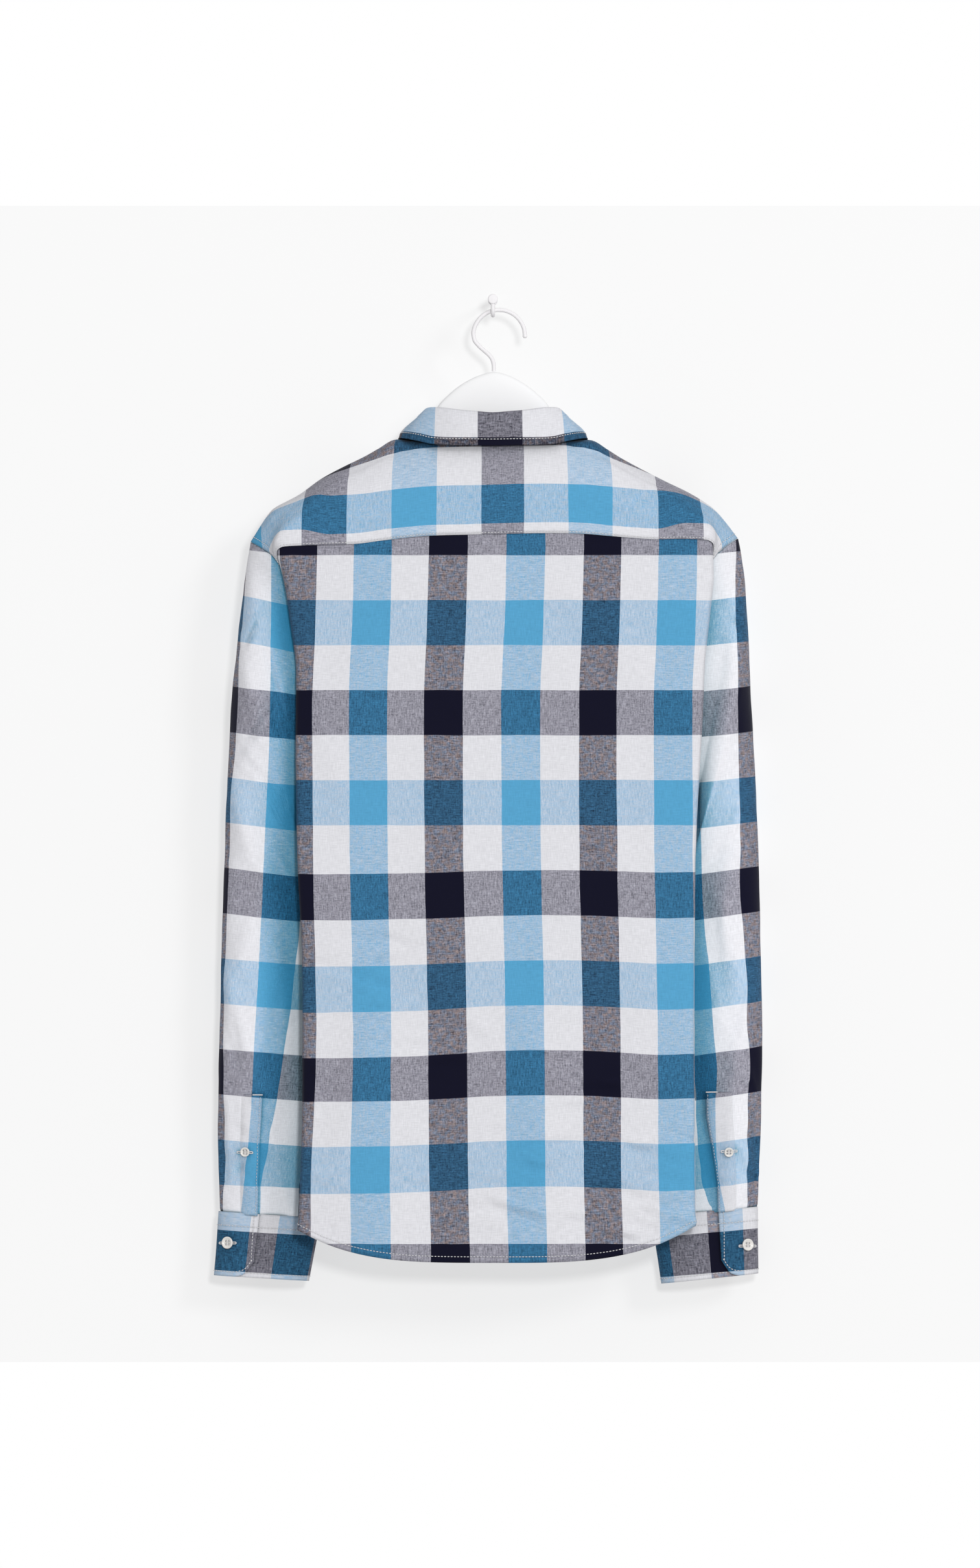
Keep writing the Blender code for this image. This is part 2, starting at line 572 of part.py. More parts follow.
def leaf_grid():
    """The collar leaf, from the roll down to its edge, and in front down to its points."""
    roll = through(COLLAR_ROLL, "angle", "roll")
    edge_angle = through(COLLAR_ROLL, "angle", "edge_angle")
    edge_z = through(COLLAR_EDGE, "angle", "z")
    angles = mirrored(COLLAR_CELLS)
    size = np.abs(angles)
    sign = np.sign(angles)
    x, y = collar_seat(size)
    away = np.stack([sign * np.sin(np.radians(size)), -np.cos(np.radians(size)), 0 * size], -1)
    ridge = np.stack([sign * x, y, roll(size)], -1)
    high = ridge + away * 3.2 - (0, 0, 2.4)
    turn = edge_angle(size)
    angle = np.radians(turn)
    forward = -np.cos(angle)
    reach = np.where(forward > 0, 49 * np.abs(forward) ** .6, -49.0 * np.abs(forward))
    low = np.stack([sign * 88 * np.sin(angle), HANGER_Y + reach, edge_z(turn)], -1)
    crown = 1.6 + 3.4 * smooth((size - 72) / 20) * smooth((160 - size) / 30)
    middle = crown[:, None] * np.stack([sign * np.sin(angle), forward, .4 * (crown - 1.6) / 3.4], -1)
    over = [ridge - away * 1.0, ridge + away * 1.6 - (0, 0, .5)]
    fall = [mix(high, low, share) + middle * 4 * share * (1 - share) for share in (0, .33, .67, 1)]
    return np.stack(over + fall)


def strip_on(grid, rows, columns, lift):
    """Points of a strip that lies on a piece: the piece's own points, moved out of its face."""
    part = grid[rows, columns]
    along, down = np.gradient(grid, axis=1), np.gradient(grid, axis=0)
    normal = np.cross(down, along)
    normal /= np.linalg.norm(normal, axis=-1, keepdims=True)
    return part + normal[rows, columns] * lift


class Scene:
    """The objects and their materials."""

    def __init__(self):
        for thing in list(bpy.data.objects):
            bpy.data.objects.remove(thing, do_unlink=True)
        self.materials = {}

    def material(self, name, paint):
        if name not in self.materials:
            made = bpy.data.materials.new(name)
            made.use_nodes = True
            shader = made.node_tree.nodes["Principled BSDF"]
            shader.inputs["Base Color"].default_value = (*paint.colour, 1)
            shader.inputs["Roughness"].default_value = paint.roughness
            self.materials[name] = made
        return self.materials[name]

    def add(self, name, data, paint):
        thing = bpy.data.objects.new(name, data)
        bpy.context.scene.collection.objects.link(thing)
        data.materials.append(self.material(name, paint))
        return thing

    def cloth(self, name, grid, inside, paint=LINEN_PAINT, wall=CLOTH, closed=False, holds=None):
        """A wall whose outer face passes through a grid of points, seen from outside."""
        rows, columns = grid.shape[:2]
        mesh = bmesh.new()
        used = {}

        def corner(row, column):
            key = (row, column % columns)
            if key not in used:
                used[key] = mesh.verts.new(grid[key] * MM)
            return used[key]

        for row in range(rows - 1):
            for column in range(columns if closed else columns - 1):
                if holds is not None and not holds(row, column):
                    continue
                a, b = corner(row, column), corner(row, column + 1)
                c, d = corner(row + 1, column + 1), corner(row + 1, column)
                if (a.co - c.co).length > (b.co - d.co).length:
                    a, b, c, d = b, c, d, a
                mesh.faces.new((a, b, c))
                mesh.faces.new((a, c, d))
        mesh.normal_update()
        centre = Vector(np.array(inside) * MM)
        outward = sum(face.normal.dot(face.calc_center_median() - centre) * face.calc_area()
                      for face in mesh.faces)
        if outward < 0:
            bmesh.ops.reverse_faces(mesh, faces=mesh.faces)
        data = bpy.data.meshes.new(name)
        mesh.to_mesh(data)
        mesh.free()
        data.shade_smooth()
        thing = self.add(name, data, paint)
        solid = thing.modifiers.new("Wall", "SOLIDIFY")
        solid.thickness = wall * MM
        solid.offset = -1
        solid.use_even_offset = True
        solid.use_quality_normals = True
        return thing

    def button(self, name, centre, normal, diameter):
        """A turned disc with a raised rim, its back a seam gap off the cloth."""
        radius = diameter / 2 * MM
        thick = BUTTON_THICK * MM
        profile = ((0, thick * .72), (radius * .62, thick * .72), (radius * .8, thick),
                   (radius * .94, thick * .9), (radius, thick * .55), (radius * .82, 0), (0, 0))
        mesh = bmesh.new()
        points = [mesh.verts.new((x, 0, z)) for x, z in profile]
        edges = [mesh.edges.new(pair) for pair in zip(points, points[1:])]
        bmesh.ops.spin(mesh, geom=points + edges, axis=(0, 0, 1), cent=(0, 0, 0),
                       angle=math.tau, steps=14, use_merge=True)
        bmesh.ops.remove_doubles(mesh, verts=mesh.verts, dist=1e-6)
        bmesh.ops.recalc_face_normals(mesh, faces=mesh.faces)
        data = bpy.data.meshes.new(name)
        mesh.to_mesh(data)
        mesh.free()
        data.shade_smooth()
        thing = self.add(name, data, BUTTON_PAINT)
        thing.rotation_mode = "QUATERNION"
        thing.rotation_quaternion = Vector((0, 0, 1)).rotation_difference(Vector(normal))
        thing.location = (centre + normal * GAP) * MM
        return thing

    def rod(self, name, points, radius, paint=WHITE_PAINT):
        """A round rod through points in millimetres, with closed ends."""
        data = bpy.data.curves.new(name, "CURVE")
        data.dimensions = "3D"
        data.bevel_depth = radius * MM
        data.bevel_resolution = 2
        data.use_fill_caps = True
        line = data.splines.new("POLY")
        line.points.add(len(points) - 1)
        for spot, point in zip(line.points, points):
            spot.co = (*(np.array(point) * MM), 1)
        return self.add(name, data, paint)


def spot_on(grid, height, column):
    """A point of a piece and its normal, at a height on a line between two of its columns."""
    line = grid[:, int(column)]
    following = grid[:, int(column) + 1]
    line = mix(line, following, column - int(column))
    order = np.argsort(line[:, 2])
    point = np.array([np.interp(height, line[order, 2], line[order, i]) for i in range(3)])
    row = int(np.argmin(np.abs(line[:, 2] - height)))
    row = min(max(row, 1), len(line) - 2)
    down = line[row + 1] - line[row - 1]
    along = grid[row, int(column) + 1] - grid[row, int(column)]
    normal = np.cross(down, along)
    return point, normal / np.linalg.norm(normal)


def turned_to(normal, way):
    """The normal, turned to the side that way points to."""
    return normal if np.dot(normal, way) > 0 else -normal


def build_body(scene):
    """The back, the yoke, the fronts and the buttoned placket."""
    yoke = yoke_grid()
    scene.cloth("back", back_grid(), (0, -60, -500))
    scene.cloth("yoke", yoke, (0, -54, -260), TRIM_PAINT, holds=yoke_holds)
    left, right = front_grid(LEFT, yoke), front_grid(RIGHT, yoke)
    scene.cloth("front_left", left, (0, -80, -500))
    scene.cloth("front_right", right, (0, -80, -500))
    columns = left.shape[1]
    lapped = slice(columns - 3, columns)
    placket = strip_on(left, slice(None), lapped, 0)
    placket[..., 1] += CLOTH + GAP
    scene.cloth("front_placket", placket, (0, -80, -500), TRIM_PAINT)
    for number in range(FRONT_BUTTONS):
        spot, normal = spot_on(placket, FIRST_BUTTON_Z - BUTTON_STEP * number, 1)
        scene.button(f"front_button_{number + 1}", spot, turned_to(normal, (0, 1, 0)), BUTTON_BIG)


def build_sleeve(scene, side):
    """A sleeve, its placket and its cuff, with their buttons."""
    grid = sleeve_grid(side)
    middle = grid.mean(axis=(0, 1))
    scene.cloth(f"sleeve_{side.name}", grid, middle, closed=True)
    columns = slice(PLACKET_FIRST, PLACKET_LAST + 1)
    lift = (CLOTH + GAP) * (1 if side.sign < 0 else -1)
    strip = strip_on(grid, slice(PLACKET_TOP_ROW, None), columns, lift)
    scene.cloth(f"sleeve_placket_{side.name}", strip, middle, TRIM_PAINT)
    spot, normal = spot_on(strip, GAUNTLET_BUTTON_Z, .8)
    scene.button(f"sleeve_button_{side.name}", spot, turned_to(normal, (0, -1, 0)), BUTTON_SMALL)
    cuff = cuff_grid(side)
    scene.cloth(f"cuff_{side.name}", cuff, cuff.mean(axis=(0, 1)), TRIM_PAINT, CUFF_CLOTH)
    spot, normal = spot_on(cuff, side.button_z, cuff.shape[1] - 4.2)
    scene.button(f"cuff_button_{side.name}", spot, turned_to(normal, (0, -1, 0)), BUTTON_BIG)


def build_collar(scene):
    """The stand and the leaf that falls over it."""
    stand = stand_grid()
    scene.cloth("collar_stand", stand, (0, HANGER_Y, -130), TRIM_PAINT)
    scene.cloth("collar_leaf", leaf_grid(), (0, HANGER_Y, -130))


def build_hanger(scene):
    """The hanger's wood, lofted through upright rounded sections, and its wire crook."""
    corners = 12
    angle = np.linspace(0, math.tau, corners, endpoint=False) + math.tau / corners / 2
    rounded = np.stack([np.sign(np.cos(angle)) * np.abs(np.cos(angle)) ** .6,
                        np.sign(np.sin(angle)) * np.abs(np.sin(angle)) ** .8], -1)
    rounded /= np.abs(rounded).max(axis=0)
    mesh = bmesh.new()
    loops = []
    for bar in HANGER:
        middle, half = (bar.top + bar.low) / 2, (bar.top - bar.low) / 2
        loops.append([mesh.verts.new((bar.x * MM, (HANGER_Y + bar.half * across) * MM,
                                      (middle + half * up) * MM)) for across, up in rounded])
    for first, second in zip(loops, loops[1:]):
        for i in range(corners):
            j = (i + 1) % corners
            mesh.faces.new((first[i], first[j], second[j], second[i]))
    mesh.faces.new(loops[0])
    mesh.faces.new(loops[-1][::-1])
    bmesh.ops.recalc_face_normals(mesh, faces=mesh.faces)
    data = bpy.data.meshes.new("hanger")
    mesh.to_mesh(data)
    mesh.free()
    data.shade_smooth()
    scene.add("hanger", data, WHITE_PAINT)
    x, z, radius = WIRE_BEND
    turn = np.radians(np.linspace(0, 188, 27))
    crook = [(x + radius * math.cos(a), HANGER_Y, z + radius * math.sin(a)) for a in turn]
    neck_line = [(px, HANGER_Y, pz) for px, pz in WIRE_NECK]
    scene.rod("hanger_crook", crook + neck_line, WIRE_RADIUS)


def build_wall_hook(scene):
    """A bent rod with a knob at its tip and a small flange on the wall, joined into one body."""
    centre_z = HOOK_LOW_Z + HOOK_BEND
    arm_y = HANGER_Y + HOOK_BEND
    shoulder = [(0, arm_y + 9 * (1 - math.sin(a)), -9 * (1 - math.cos(a)))
                for a in np.radians(np.linspace(0, 80, 8))]
    bend = [(0, HANGER_Y + HOOK_BEND * math.cos(a), centre_z - HOOK_BEND * math.sin(a))
            for a in np.radians(np.linspace(0, 180, 15))]
    tip_y = HANGER_Y - HOOK_BEND
    route = [(0, -1, 0)] + shoulder + bend + [(0, tip_y, -4), (0, tip_y, 1)]
    rod = scene.rod("hook_rod", route, HOOK_ROD)
    graph = bpy.context.evaluated_depsgraph_get()
    data = bpy.data.meshes.new_from_object(rod.evaluated_get(graph))
    bpy.data.objects.remove(rod, do_unlink=True)
    hook = scene.add("wall_hook", data, WHITE_PAINT)
    discs = (("knob", KNOB_RADIUS, KNOB_THICK, tip_y - .8),
             ("flange", FLANGE_RADIUS, FLANGE_THICK, -FLANGE_THICK / 2))
    for label, radius, thick, middle_y in discs:
        mesh = bmesh.new()
        bmesh.ops.create_cone(mesh, cap_ends=True, segments=28, radius1=radius * MM, radius2=radius * MM,
                              depth=thick * MM)
        bmesh.ops.rotate(mesh, verts=mesh.verts, matrix=Matrix.Rotation(math.pi / 2, 3, "X"))
        solid = bpy.data.meshes.new(label)
        mesh.to_mesh(solid)
        mesh.free()
        piece = scene.add(f"hook_{label}", solid, WHITE_PAINT)
        piece.location = (0, middle_y * MM, 0)
        piece.hide_render = True
        piece.display_type = "WIRE"
        union = hook.modifiers.new(label, "BOOLEAN")
        union.operation = "UNION"
        union.solver = "EXACT"
        union.object = piece


def main():
    scene = Scene()
    build_body(scene)
    for side in (LEFT, RIGHT):
        build_sleeve(scene, side)
    build_collar(scene)
    build_hanger(scene)
    build_wall_hook(scene)


main()
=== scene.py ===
"""Looks of a checked linen shirt, hung on a white wooden hanger from a wall hook.

The shirt's back faces -Y and the wall is at y = 0. Tables and sizes are in millimetres and each
mesh is written in metres. Every cloth piece is a fine sheet on the form of its solid, with its
folds placed one by one, and its UV map "Cloth" holds metres of cloth: across the warp stripes and
across the weft stripes of the check.
"""

from __future__ import annotations

import logging
import math
from dataclasses import dataclass, field
from enum import Enum
from typing import Callable, NamedTuple, Sequence

import bmesh
import bpy
import numpy as np
from bpy.types import ID, Material, Node, NodeSocket, NodeTree, Object
from mathutils import Matrix, Vector

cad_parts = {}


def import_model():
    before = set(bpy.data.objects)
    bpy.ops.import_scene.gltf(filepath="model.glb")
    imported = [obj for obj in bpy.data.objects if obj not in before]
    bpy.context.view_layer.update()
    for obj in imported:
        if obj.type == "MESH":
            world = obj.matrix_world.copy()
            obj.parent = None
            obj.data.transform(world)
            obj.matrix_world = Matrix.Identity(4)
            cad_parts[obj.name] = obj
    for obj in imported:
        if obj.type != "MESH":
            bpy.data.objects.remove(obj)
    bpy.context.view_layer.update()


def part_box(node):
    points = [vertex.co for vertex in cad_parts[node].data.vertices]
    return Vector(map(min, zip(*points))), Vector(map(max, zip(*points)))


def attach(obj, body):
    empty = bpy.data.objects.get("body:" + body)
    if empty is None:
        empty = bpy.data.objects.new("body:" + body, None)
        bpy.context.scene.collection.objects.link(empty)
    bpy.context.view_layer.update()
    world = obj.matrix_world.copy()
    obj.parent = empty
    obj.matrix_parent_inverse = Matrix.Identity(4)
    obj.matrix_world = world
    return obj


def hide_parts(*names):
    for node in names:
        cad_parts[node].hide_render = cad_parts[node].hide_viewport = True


log = logging.getLogger("linen_shirt")

Array = np.ndarray
Reals = np.ndarray | float
Pair = tuple[float, float]
Triple = tuple[float, float, float]
Colour = tuple[float, float, float, float]

MM = 0.001
GAP = 0.3
SEAM_WALL = 1.2
UNDER_STEP = SEAM_WALL + GAP + .4
CLOTH_SHELL = 0.8
UV_NAME = "Cloth"

# Width of one stripe: across the upright bands, and across the level ones.
WARP = 35.85
WEFT = 41.65

# ---------------------------------------------------------------- curves and grids


def slopes_of(height: Array, step: Array) -> Array:
    """Return slopes for a curve through heights that keeps between its neighbours.

    Args:
        height: Values along the first axis.
        step: Distances between them.

    Returns:
        A slope for each value.
    """
    step = step.reshape((-1,) + (1,) * (height.ndim - 1))
    chord = np.diff(height, axis=0) / step
    slope = np.zeros_like(height)
    level = chord[:-1] * chord[1:] <= 0
    total = np.where(level, 1, chord[:-1] + chord[1:])
    slope[1:-1] = np.where(level, 0, 2 * chord[:-1] * chord[1:] / total)
    slope[0], slope[-1] = chord[0], chord[-1]
    return slope


class Profile:
    """A smooth function through pairs of numbers, which never overshoots them."""

    def __init__(self, pairs: Sequence[Pair]) -> None:
        """Prepare the slopes.

        Args:
            pairs: (where, value), in any order.
        """
        ordered = sorted(pairs)
        self.at = np.array([p[0] for p in ordered], float)
        self.height = np.array([p[1] for p in ordered], float)
        self.step = np.diff(self.at)
        self.slope = slopes_of(self.height, self.step)

    def __call__(self, where: Reals) -> Array:
        """Read the function.

        Args:
            where: Places to read it at.

        Returns:
            The value at each place, held level beyond the ends.
        """
        where = np.clip(np.asarray(where, float), self.at[0], self.at[-1])
        i = np.clip(np.searchsorted(self.at, where) - 1, 0, len(self.step) - 1)
        t = (where - self.at[i]) / self.step[i]
        rise = self.height[i + 1] - self.height[i]
        start = self.height[i] + t * t * (3 - 2 * t) * rise
        bend = (1 - t) * self.slope[i] - t * self.slope[i + 1]
        return start + self.step[i] * t * (1 - t) * bend


def smooth(t: Reals) -> Array:
    """Return an eased step from 0 to 1."""
    t = np.clip(t, 0, 1)
    return t * t * (3 - 2 * t)


def mix(a: Reals, b: Reals, t: Reals) -> Array:
    """Return the blend of a and b."""
    return a + (b - a) * t


def travelled(points: Array, axis: int) -> Array:
    """Return distances from the first point, added up along one axis of a grid or a line."""
    step = np.linalg.norm(np.diff(points, axis=axis), axis=-1)
    return np.insert(np.cumsum(step, axis=axis), 0, 0, axis=axis)


def densify(grid: Array, factor: int, axis: int, closed: bool = False) -> Array:
    """Put more points between the rows or columns of a grid, on a smooth curve through them.

    Args:
        grid: Points, as rows x columns x 3.
        factor: Cells for each cell.
        axis: 0 adds rows and 1 adds columns.
        closed: Whether the last column leads back to the first.

    Returns:
        The finer grid.
    """
    grid = np.moveaxis(grid, axis, 0)
    count = len(grid)
    if closed:
        grid = np.concatenate([grid[-3:], grid, grid[:4]])
    slope = slopes_of(grid, np.ones(len(grid) - 1))
    cells = np.repeat(np.arange(len(grid) - 1), factor)
    t = np.tile(np.arange(factor) / factor, len(grid) - 1).reshape((-1,) + (1,) * (grid.ndim - 1))
    rise = grid[cells + 1] - grid[cells]
    bend = (1 - t) * slope[cells] - t * slope[cells + 1]
    fine = grid[cells] + t * t * (3 - 2 * t) * rise + t * (1 - t) * bend
    if closed:
        fine = fine[3 * factor:(3 + count) * factor]
    else:
        fine = np.concatenate([fine, grid[-1:]])
    return np.moveaxis(fine, 0, axis)


def fine(grid: Array, rows: int, columns: int, around: bool = False) -> Array:
    """Return a grid with more rows and columns, and with its first column repeated if it is closed."""
    made = densify(densify(grid, rows, 0), columns, 1, around)
    return np.concatenate([made, made[:, :1]], axis=1) if around else made


def rows_of(kind: type, *rows: Sequence[float]) -> tuple:
    """Return rows of numbers as named tuples of one kind."""
    return tuple(kind(*row) for row in rows)


# ---------------------------------------------------------------- form of the garment

HANGER_Y = -54.0
BACK_Y = -101.0
BACK_ROUND, BACK_HALF = 6.0, 195.0
BACK_TURN_X, BACK_TURN_SLOPE = 193.0, .5
BACK_SINK, BACK_SINK_TOP, BACK_SINK_REACH = 3.0, -230.0, 250.0
YOKE_JOIN_X = 60.0
NECK_HALF_WIDTH = 78.0
NECK_BACK_Z = -134.0
NECK_SIDE_DROP = -4.0
NECK_FRONT_DROP = 41.0
NECK_FRONT_REACH = 40.0
COLLAR_SEAT, SEAT_FRONT, SEAT_BACK = 70.0, 42.0, 41.0
COLLAR_SPREAD, LEAF_REACH = 88.0, 49.0
NECK_SEAM_ANGLE = 128.0
ARCH_RISE, ARCH_DEPTH = 2.4, 2.0
FRONT_SEAM_Z, FRONT_SEAM_SLOPE, FRONT_SEAM_X = -152.0, .68, 62.0
FOLD_RADIUS = 7.0
HEM_Z, HEM_LIFT, HEM_POWER, HEM_HALF = -893.0, 33.0, 3.5, 185.0
FRONT_HEM_Z = -878.0
PLACKET_HALF = 17.5
UNDERLAP = 14.0
SEAM_DIP = 9.0
CUFF_OVERLAP = 22.0
CUFF_CORNER = 15.0
CUFF_DEPTH = 60.0
CUFF_CLOTH = 2.0

FLAT_CELLS, TURN_CELLS, TAIL_CELLS, MIDDLE_CELLS = 6, 3, 1, 8
SHOULDER_CELLS = FLAT_CELLS + TURN_CELLS + TAIL_CELLS
YOKE_BACK_ROWS, YOKE_TOP_ROWS, YOKE_FRONT_ROWS = 4, 3, 4
BODY_ROWS = 10
NECK_CELLS = 5
YOKE_ANGLE, YOKE_FRONT_ANGLE = 34.3, 324.0
ARMHOLE_BACK = (55.0, 76.0, 100.0, 130.0, 180.0)
ARMHOLE_FRONT = (230.0, 260.0, 284.0, 305.0, YOKE_FRONT_ANGLE)
LOW_ANGLES = (0, 8, 17, 26, 35, 44, 53, 66, 79, 100, 122, 150, 180,
              205, 228, 250, 270, 290, 308, 326, 343)
PLACKET_FIRST, PLACKET_LAST = 6, 8
SLEEVE_STATIONS = (0, .5, 1, 1.5, 2, 2.7, 3.5, 4.3, 5.2, 6, 6.65, 7.2, 7.7, 8)
HALF_RING = 12
COLLAR_CELLS = (0, 12, 24, 36, 47, 57, 67, 78, 90, 106, 122, 140, 157, 172)


class Ring(NamedTuple):
    """One ring of a sleeve or a cuff, from its outer edge to its inner one."""

    outer_x: float
    outer_z: float
    inner_x: float
    inner_z: float
    outer_y: float
    inner_y: float
    depth: float
    square: float


class Body(NamedTuple):
    """The side seam and the front's swell at one height."""

    z: float
    seam_in: float
    seam_y: float
    side_y: float
    centre_y: float
    bulge_in: float
    bulge_out: float


class Wave(NamedTuple):
    """A long fold that grows downwards."""

    x: float
    top: float
    bottom: float
    width: float
    depth: float
    drift: float


SLEEVE_LEFT = rows_of(
    Ring,
    (-224.7, -225.0, -167, -455, -54, -46, 31, 6.0), (-230.5, -262.0, -172, -478, -47, -45, 31, 4.6),
    (-238.0, -330.0, -173, -508, -44, -44, 30, 3.6), (-244.5, -400.0, -160, -548, -41, -41, 28, 3.2),
    (-248.0, -490.0, -150, -605, -38, -38, 27, 3.0), (-251.7, -584.0, -147, -668, -36, -36, 26, 2.8),
    (-253.6, -680.0, -150, -735, -35, -35, 24, 2.6), (-255.3, -764.0, -155, -793, -34, -34, 22, 2.5),
    (-253.5, -845.7, -159, -852, -33, -33, 19, 2.4))
SLEEVE_RIGHT = rows_of(
    Ring,
    (227.1, -221.7, 176, -452, -54, -46, 31, 6.0), (233.4, -260.0, 187, -476, -47, -42, 29, 4.6),
    (237.6, -330.0, 187, -506, -44, -44, 30, 3.6), (240.6, -400.0, 173, -546, -41, -41, 28, 3.2),
    (245.9, -490.0, 156, -603, -38, -38, 27, 3.0), (248.2, -584.0, 148, -668, -36, -36, 26, 2.8),
    (250.2, -680.0, 145, -735, -35, -35, 24, 2.6), (248.7, -764.0, 146, -793, -34, -34, 22, 2.5),
    (245.4, -841.5, 146.5, -850, -33, -33, 19, 2.4))
CUFF_LEFT = rows_of(
    Ring, (-254.4, -846.2, -159.5, -852.5, -33, -33, 19, 2.4),
    (-258.9, -905.7, -170.7, -911.0, -34, -34, 17, 2.4))
CUFF_RIGHT = rows_of(
    Ring, (245.8, -842.0, 146.5, -850.5, -33, -33, 19, 2.4),
    (246.3, -904.0, 156.3, -913.5, -34, -34, 17, 2.4))
BODY = rows_of(
    Body,
    (-150, 16, -30, -30, -16, 150, 200), (-245, 16, -27, -27, -13, 150, 200),
    (-300, 16, -23, -23, -12, 150, 190), (-430, 16, -24, -24, -12, 148, 172),
    (-455, 16, -46, -42, -13, 140, 170), (-480, 15, -56, -54, -14, 125, 168),
    (-510, 14, -66, -64, -15, 100, 164), (-560, 13, -73, -69, -17, 80, 158),
    (-700, 13, -75, -70, -22, 72, 155), (-880, 13, -75, -70, -30, 70, 155))
BACK_WAVES = rows_of(
    Wave, (-112, -560, -900, 34, 2.5, 6), (-38, -470, -900, 40, -2.2, -8),
    (44, -610, -900, 34, 2.6, 5), (118, -430, -900, 38, -2.4, -6))
FRONT_WAVES = rows_of(
    Wave, (-118, -400, -900, 15, -6, 8), (-84, -460, -900, 16, 8, 6), (-46, -330, -900, 15, -5, 3),
    (48, -360, -900, 16, -5, -4), (88, -430, -900, 16, 7, -6), (124, -470, -900, 15, -6, -8))

shoulder_z = Profile([
    (-226, -232), (-224.7, -225), (-221, -218), (-214, -208), (-205, -195.5), (-192, -187.5),
    (-177, -179.5), (-156, -164.7), (-135, -153.6), (-120, -146.2), (-104, -138.2), (-92, -131.2),
    (-78, -129), (-57, -117), (0, -88), (57, -117), (78, -128.6), (90, -129.6), (101, -136.3),
    (112.5, -143.4), (151, -164.5), (182, -179.7), (193, -185.7), (206.7, -196.5), (216, -207.3),
    (222, -215), (227, -221.7), (228, -230)])
yoke_seam_z = Profile([
    (-226, -250), (-200.7, -229.5), (-178, -227.7), (-132, -226.5), (-96, -222.3), (-60, -218.7),
    (-12, -217.5), (48, -216.3), (72, -216.5), (120, -219.9), (150, -222), (180, -221.5),
    (203, -223), (228, -246)])
left_edge_x = Profile([
    (-236, -200), (-262, -195), (-310, -188), (-345, -182), (-420, -183), (-530, -181),
    (-640, -176.7), (-740, -176.7), (-862, -181)])
right_edge_x = Profile([
    (-236, 204), (-262, 205), (-310, 201), (-345, 197.5), (-420, 193.5), (-530, 188),
    (-640, 187), (-740, 187.3), (-862, 188)])
body_at = {name: Profile([(row.z, getattr(row, name)) for row in BODY]) for name in Body._fields[1:]}
collar_roll = Profile([
    (0, -105.5), (25, -103.2), (45, -100.6), (55, -100.2), (63, -103.2), (77, -108.6),
    (90, -112.8), (105, -119), (120, -126.5), (150, -142), (172, -149)])
collar_edge_angle = Profile([
    (0, 0), (25, 28), (45, 50), (55, 62), (63, 72), (77, 88), (90, 101), (105, 112), (120, 125),
    (150, 142), (172, 149)])
collar_edge_z = Profile([
    (0, -136.5), (36, -135.3), (55, -131.3), (75, -129), (90, -129.5), (107, -139), (122, -160),
    (136, -190), (149, -217)])


@dataclass(frozen=True)
class Side:
    """One side of the shirt, by the wearer."""

    name: str
    sign: int
    rings: tuple[Ring, ...]
    cuff: tuple[Ring, ...]
    slit_top: float
    slit_low: float
    cuff_end: float


LEFT = Side("left", -1, SLEEVE_LEFT, CUFF_LEFT, .40, .37, .40)
RIGHT = Side("right", 1, SLEEVE_RIGHT, CUFF_RIGHT, .50, .37, .37)


def edge_x(sign: int, z: Reals) -> Array:
    """Return where the back panel folds away on one side."""
    return left_edge_x(z) if sign < 0 else right_edge_x(z)


def waves(rows: Sequence[Wave], x: Array, z: Array) -> Array:
    """Add up the long folds.

    Args:
        rows: The folds.
        x: Places across.
        z: Heights.

    Returns:
        How far the cloth stands out at each place.
    """
    out = np.zeros(np.broadcast(x, z).shape)
    for row in rows:
        down = np.clip((row.top - z) / (row.top - row.bottom), 0, 1)
        middle = row.x + row.drift * down
        out = out + row.depth * smooth(down * 1.6) * np.exp(-(((x - middle) / row.width) ** 2))
    return out


def back_y(x: Array, z: Reals) -> Array:
    """Place the back panel and the yoke's back in depth.

    Args:
        x: Places across.
        z: Heights.

    Returns:
        Their y.
    """
    aside = np.abs(x)
    plain = BACK_Y + BACK_ROUND * (aside / BACK_HALF) ** 3
    plain = plain + BACK_TURN_SLOPE * np.maximum(aside - BACK_TURN_X, 0)
    return plain + BACK_SINK * smooth((BACK_SINK_TOP - z) / BACK_SINK_REACH) - waves(BACK_WAVES, x, z)


def front_seam_z(x: Array) -> Array:
    """Return the height of the yoke's front seams."""
    return FRONT_SEAM_Z - FRONT_SEAM_SLOPE * (np.abs(x) - FRONT_SEAM_X)


def arch(x: Reals, turn: Reals) -> Array:
    """Place points of the yoke.

    Args:
        x: Places across.
        turn: 0 on the back seam, 1 on the shoulder, 2 on the front seam.

    Returns:
        The points.
    """
    x, turn = np.broadcast_arrays(np.asarray(x, float), np.asarray(turn, float))
    behind = turn > 1
    low = np.where(behind, front_seam_z(x), yoke_seam_z(x))
    front_reach = 30 + 3 * smooth((np.abs(x) - 62) / 80) - 9 * smooth((np.abs(x) - 185) / 40)
    reach = np.where(behind, front_reach, back_y(x, -200.0) - HANGER_Y)
    rise = np.abs(np.sin(turn * math.pi / 2)) ** (2 / ARCH_RISE)
    out = np.abs(np.cos(turn * math.pi / 2)) ** (2 / ARCH_DEPTH)
    return np.stack([x, HANGER_Y + reach * out, low + (shoulder_z(x) - low) * rise], -1)


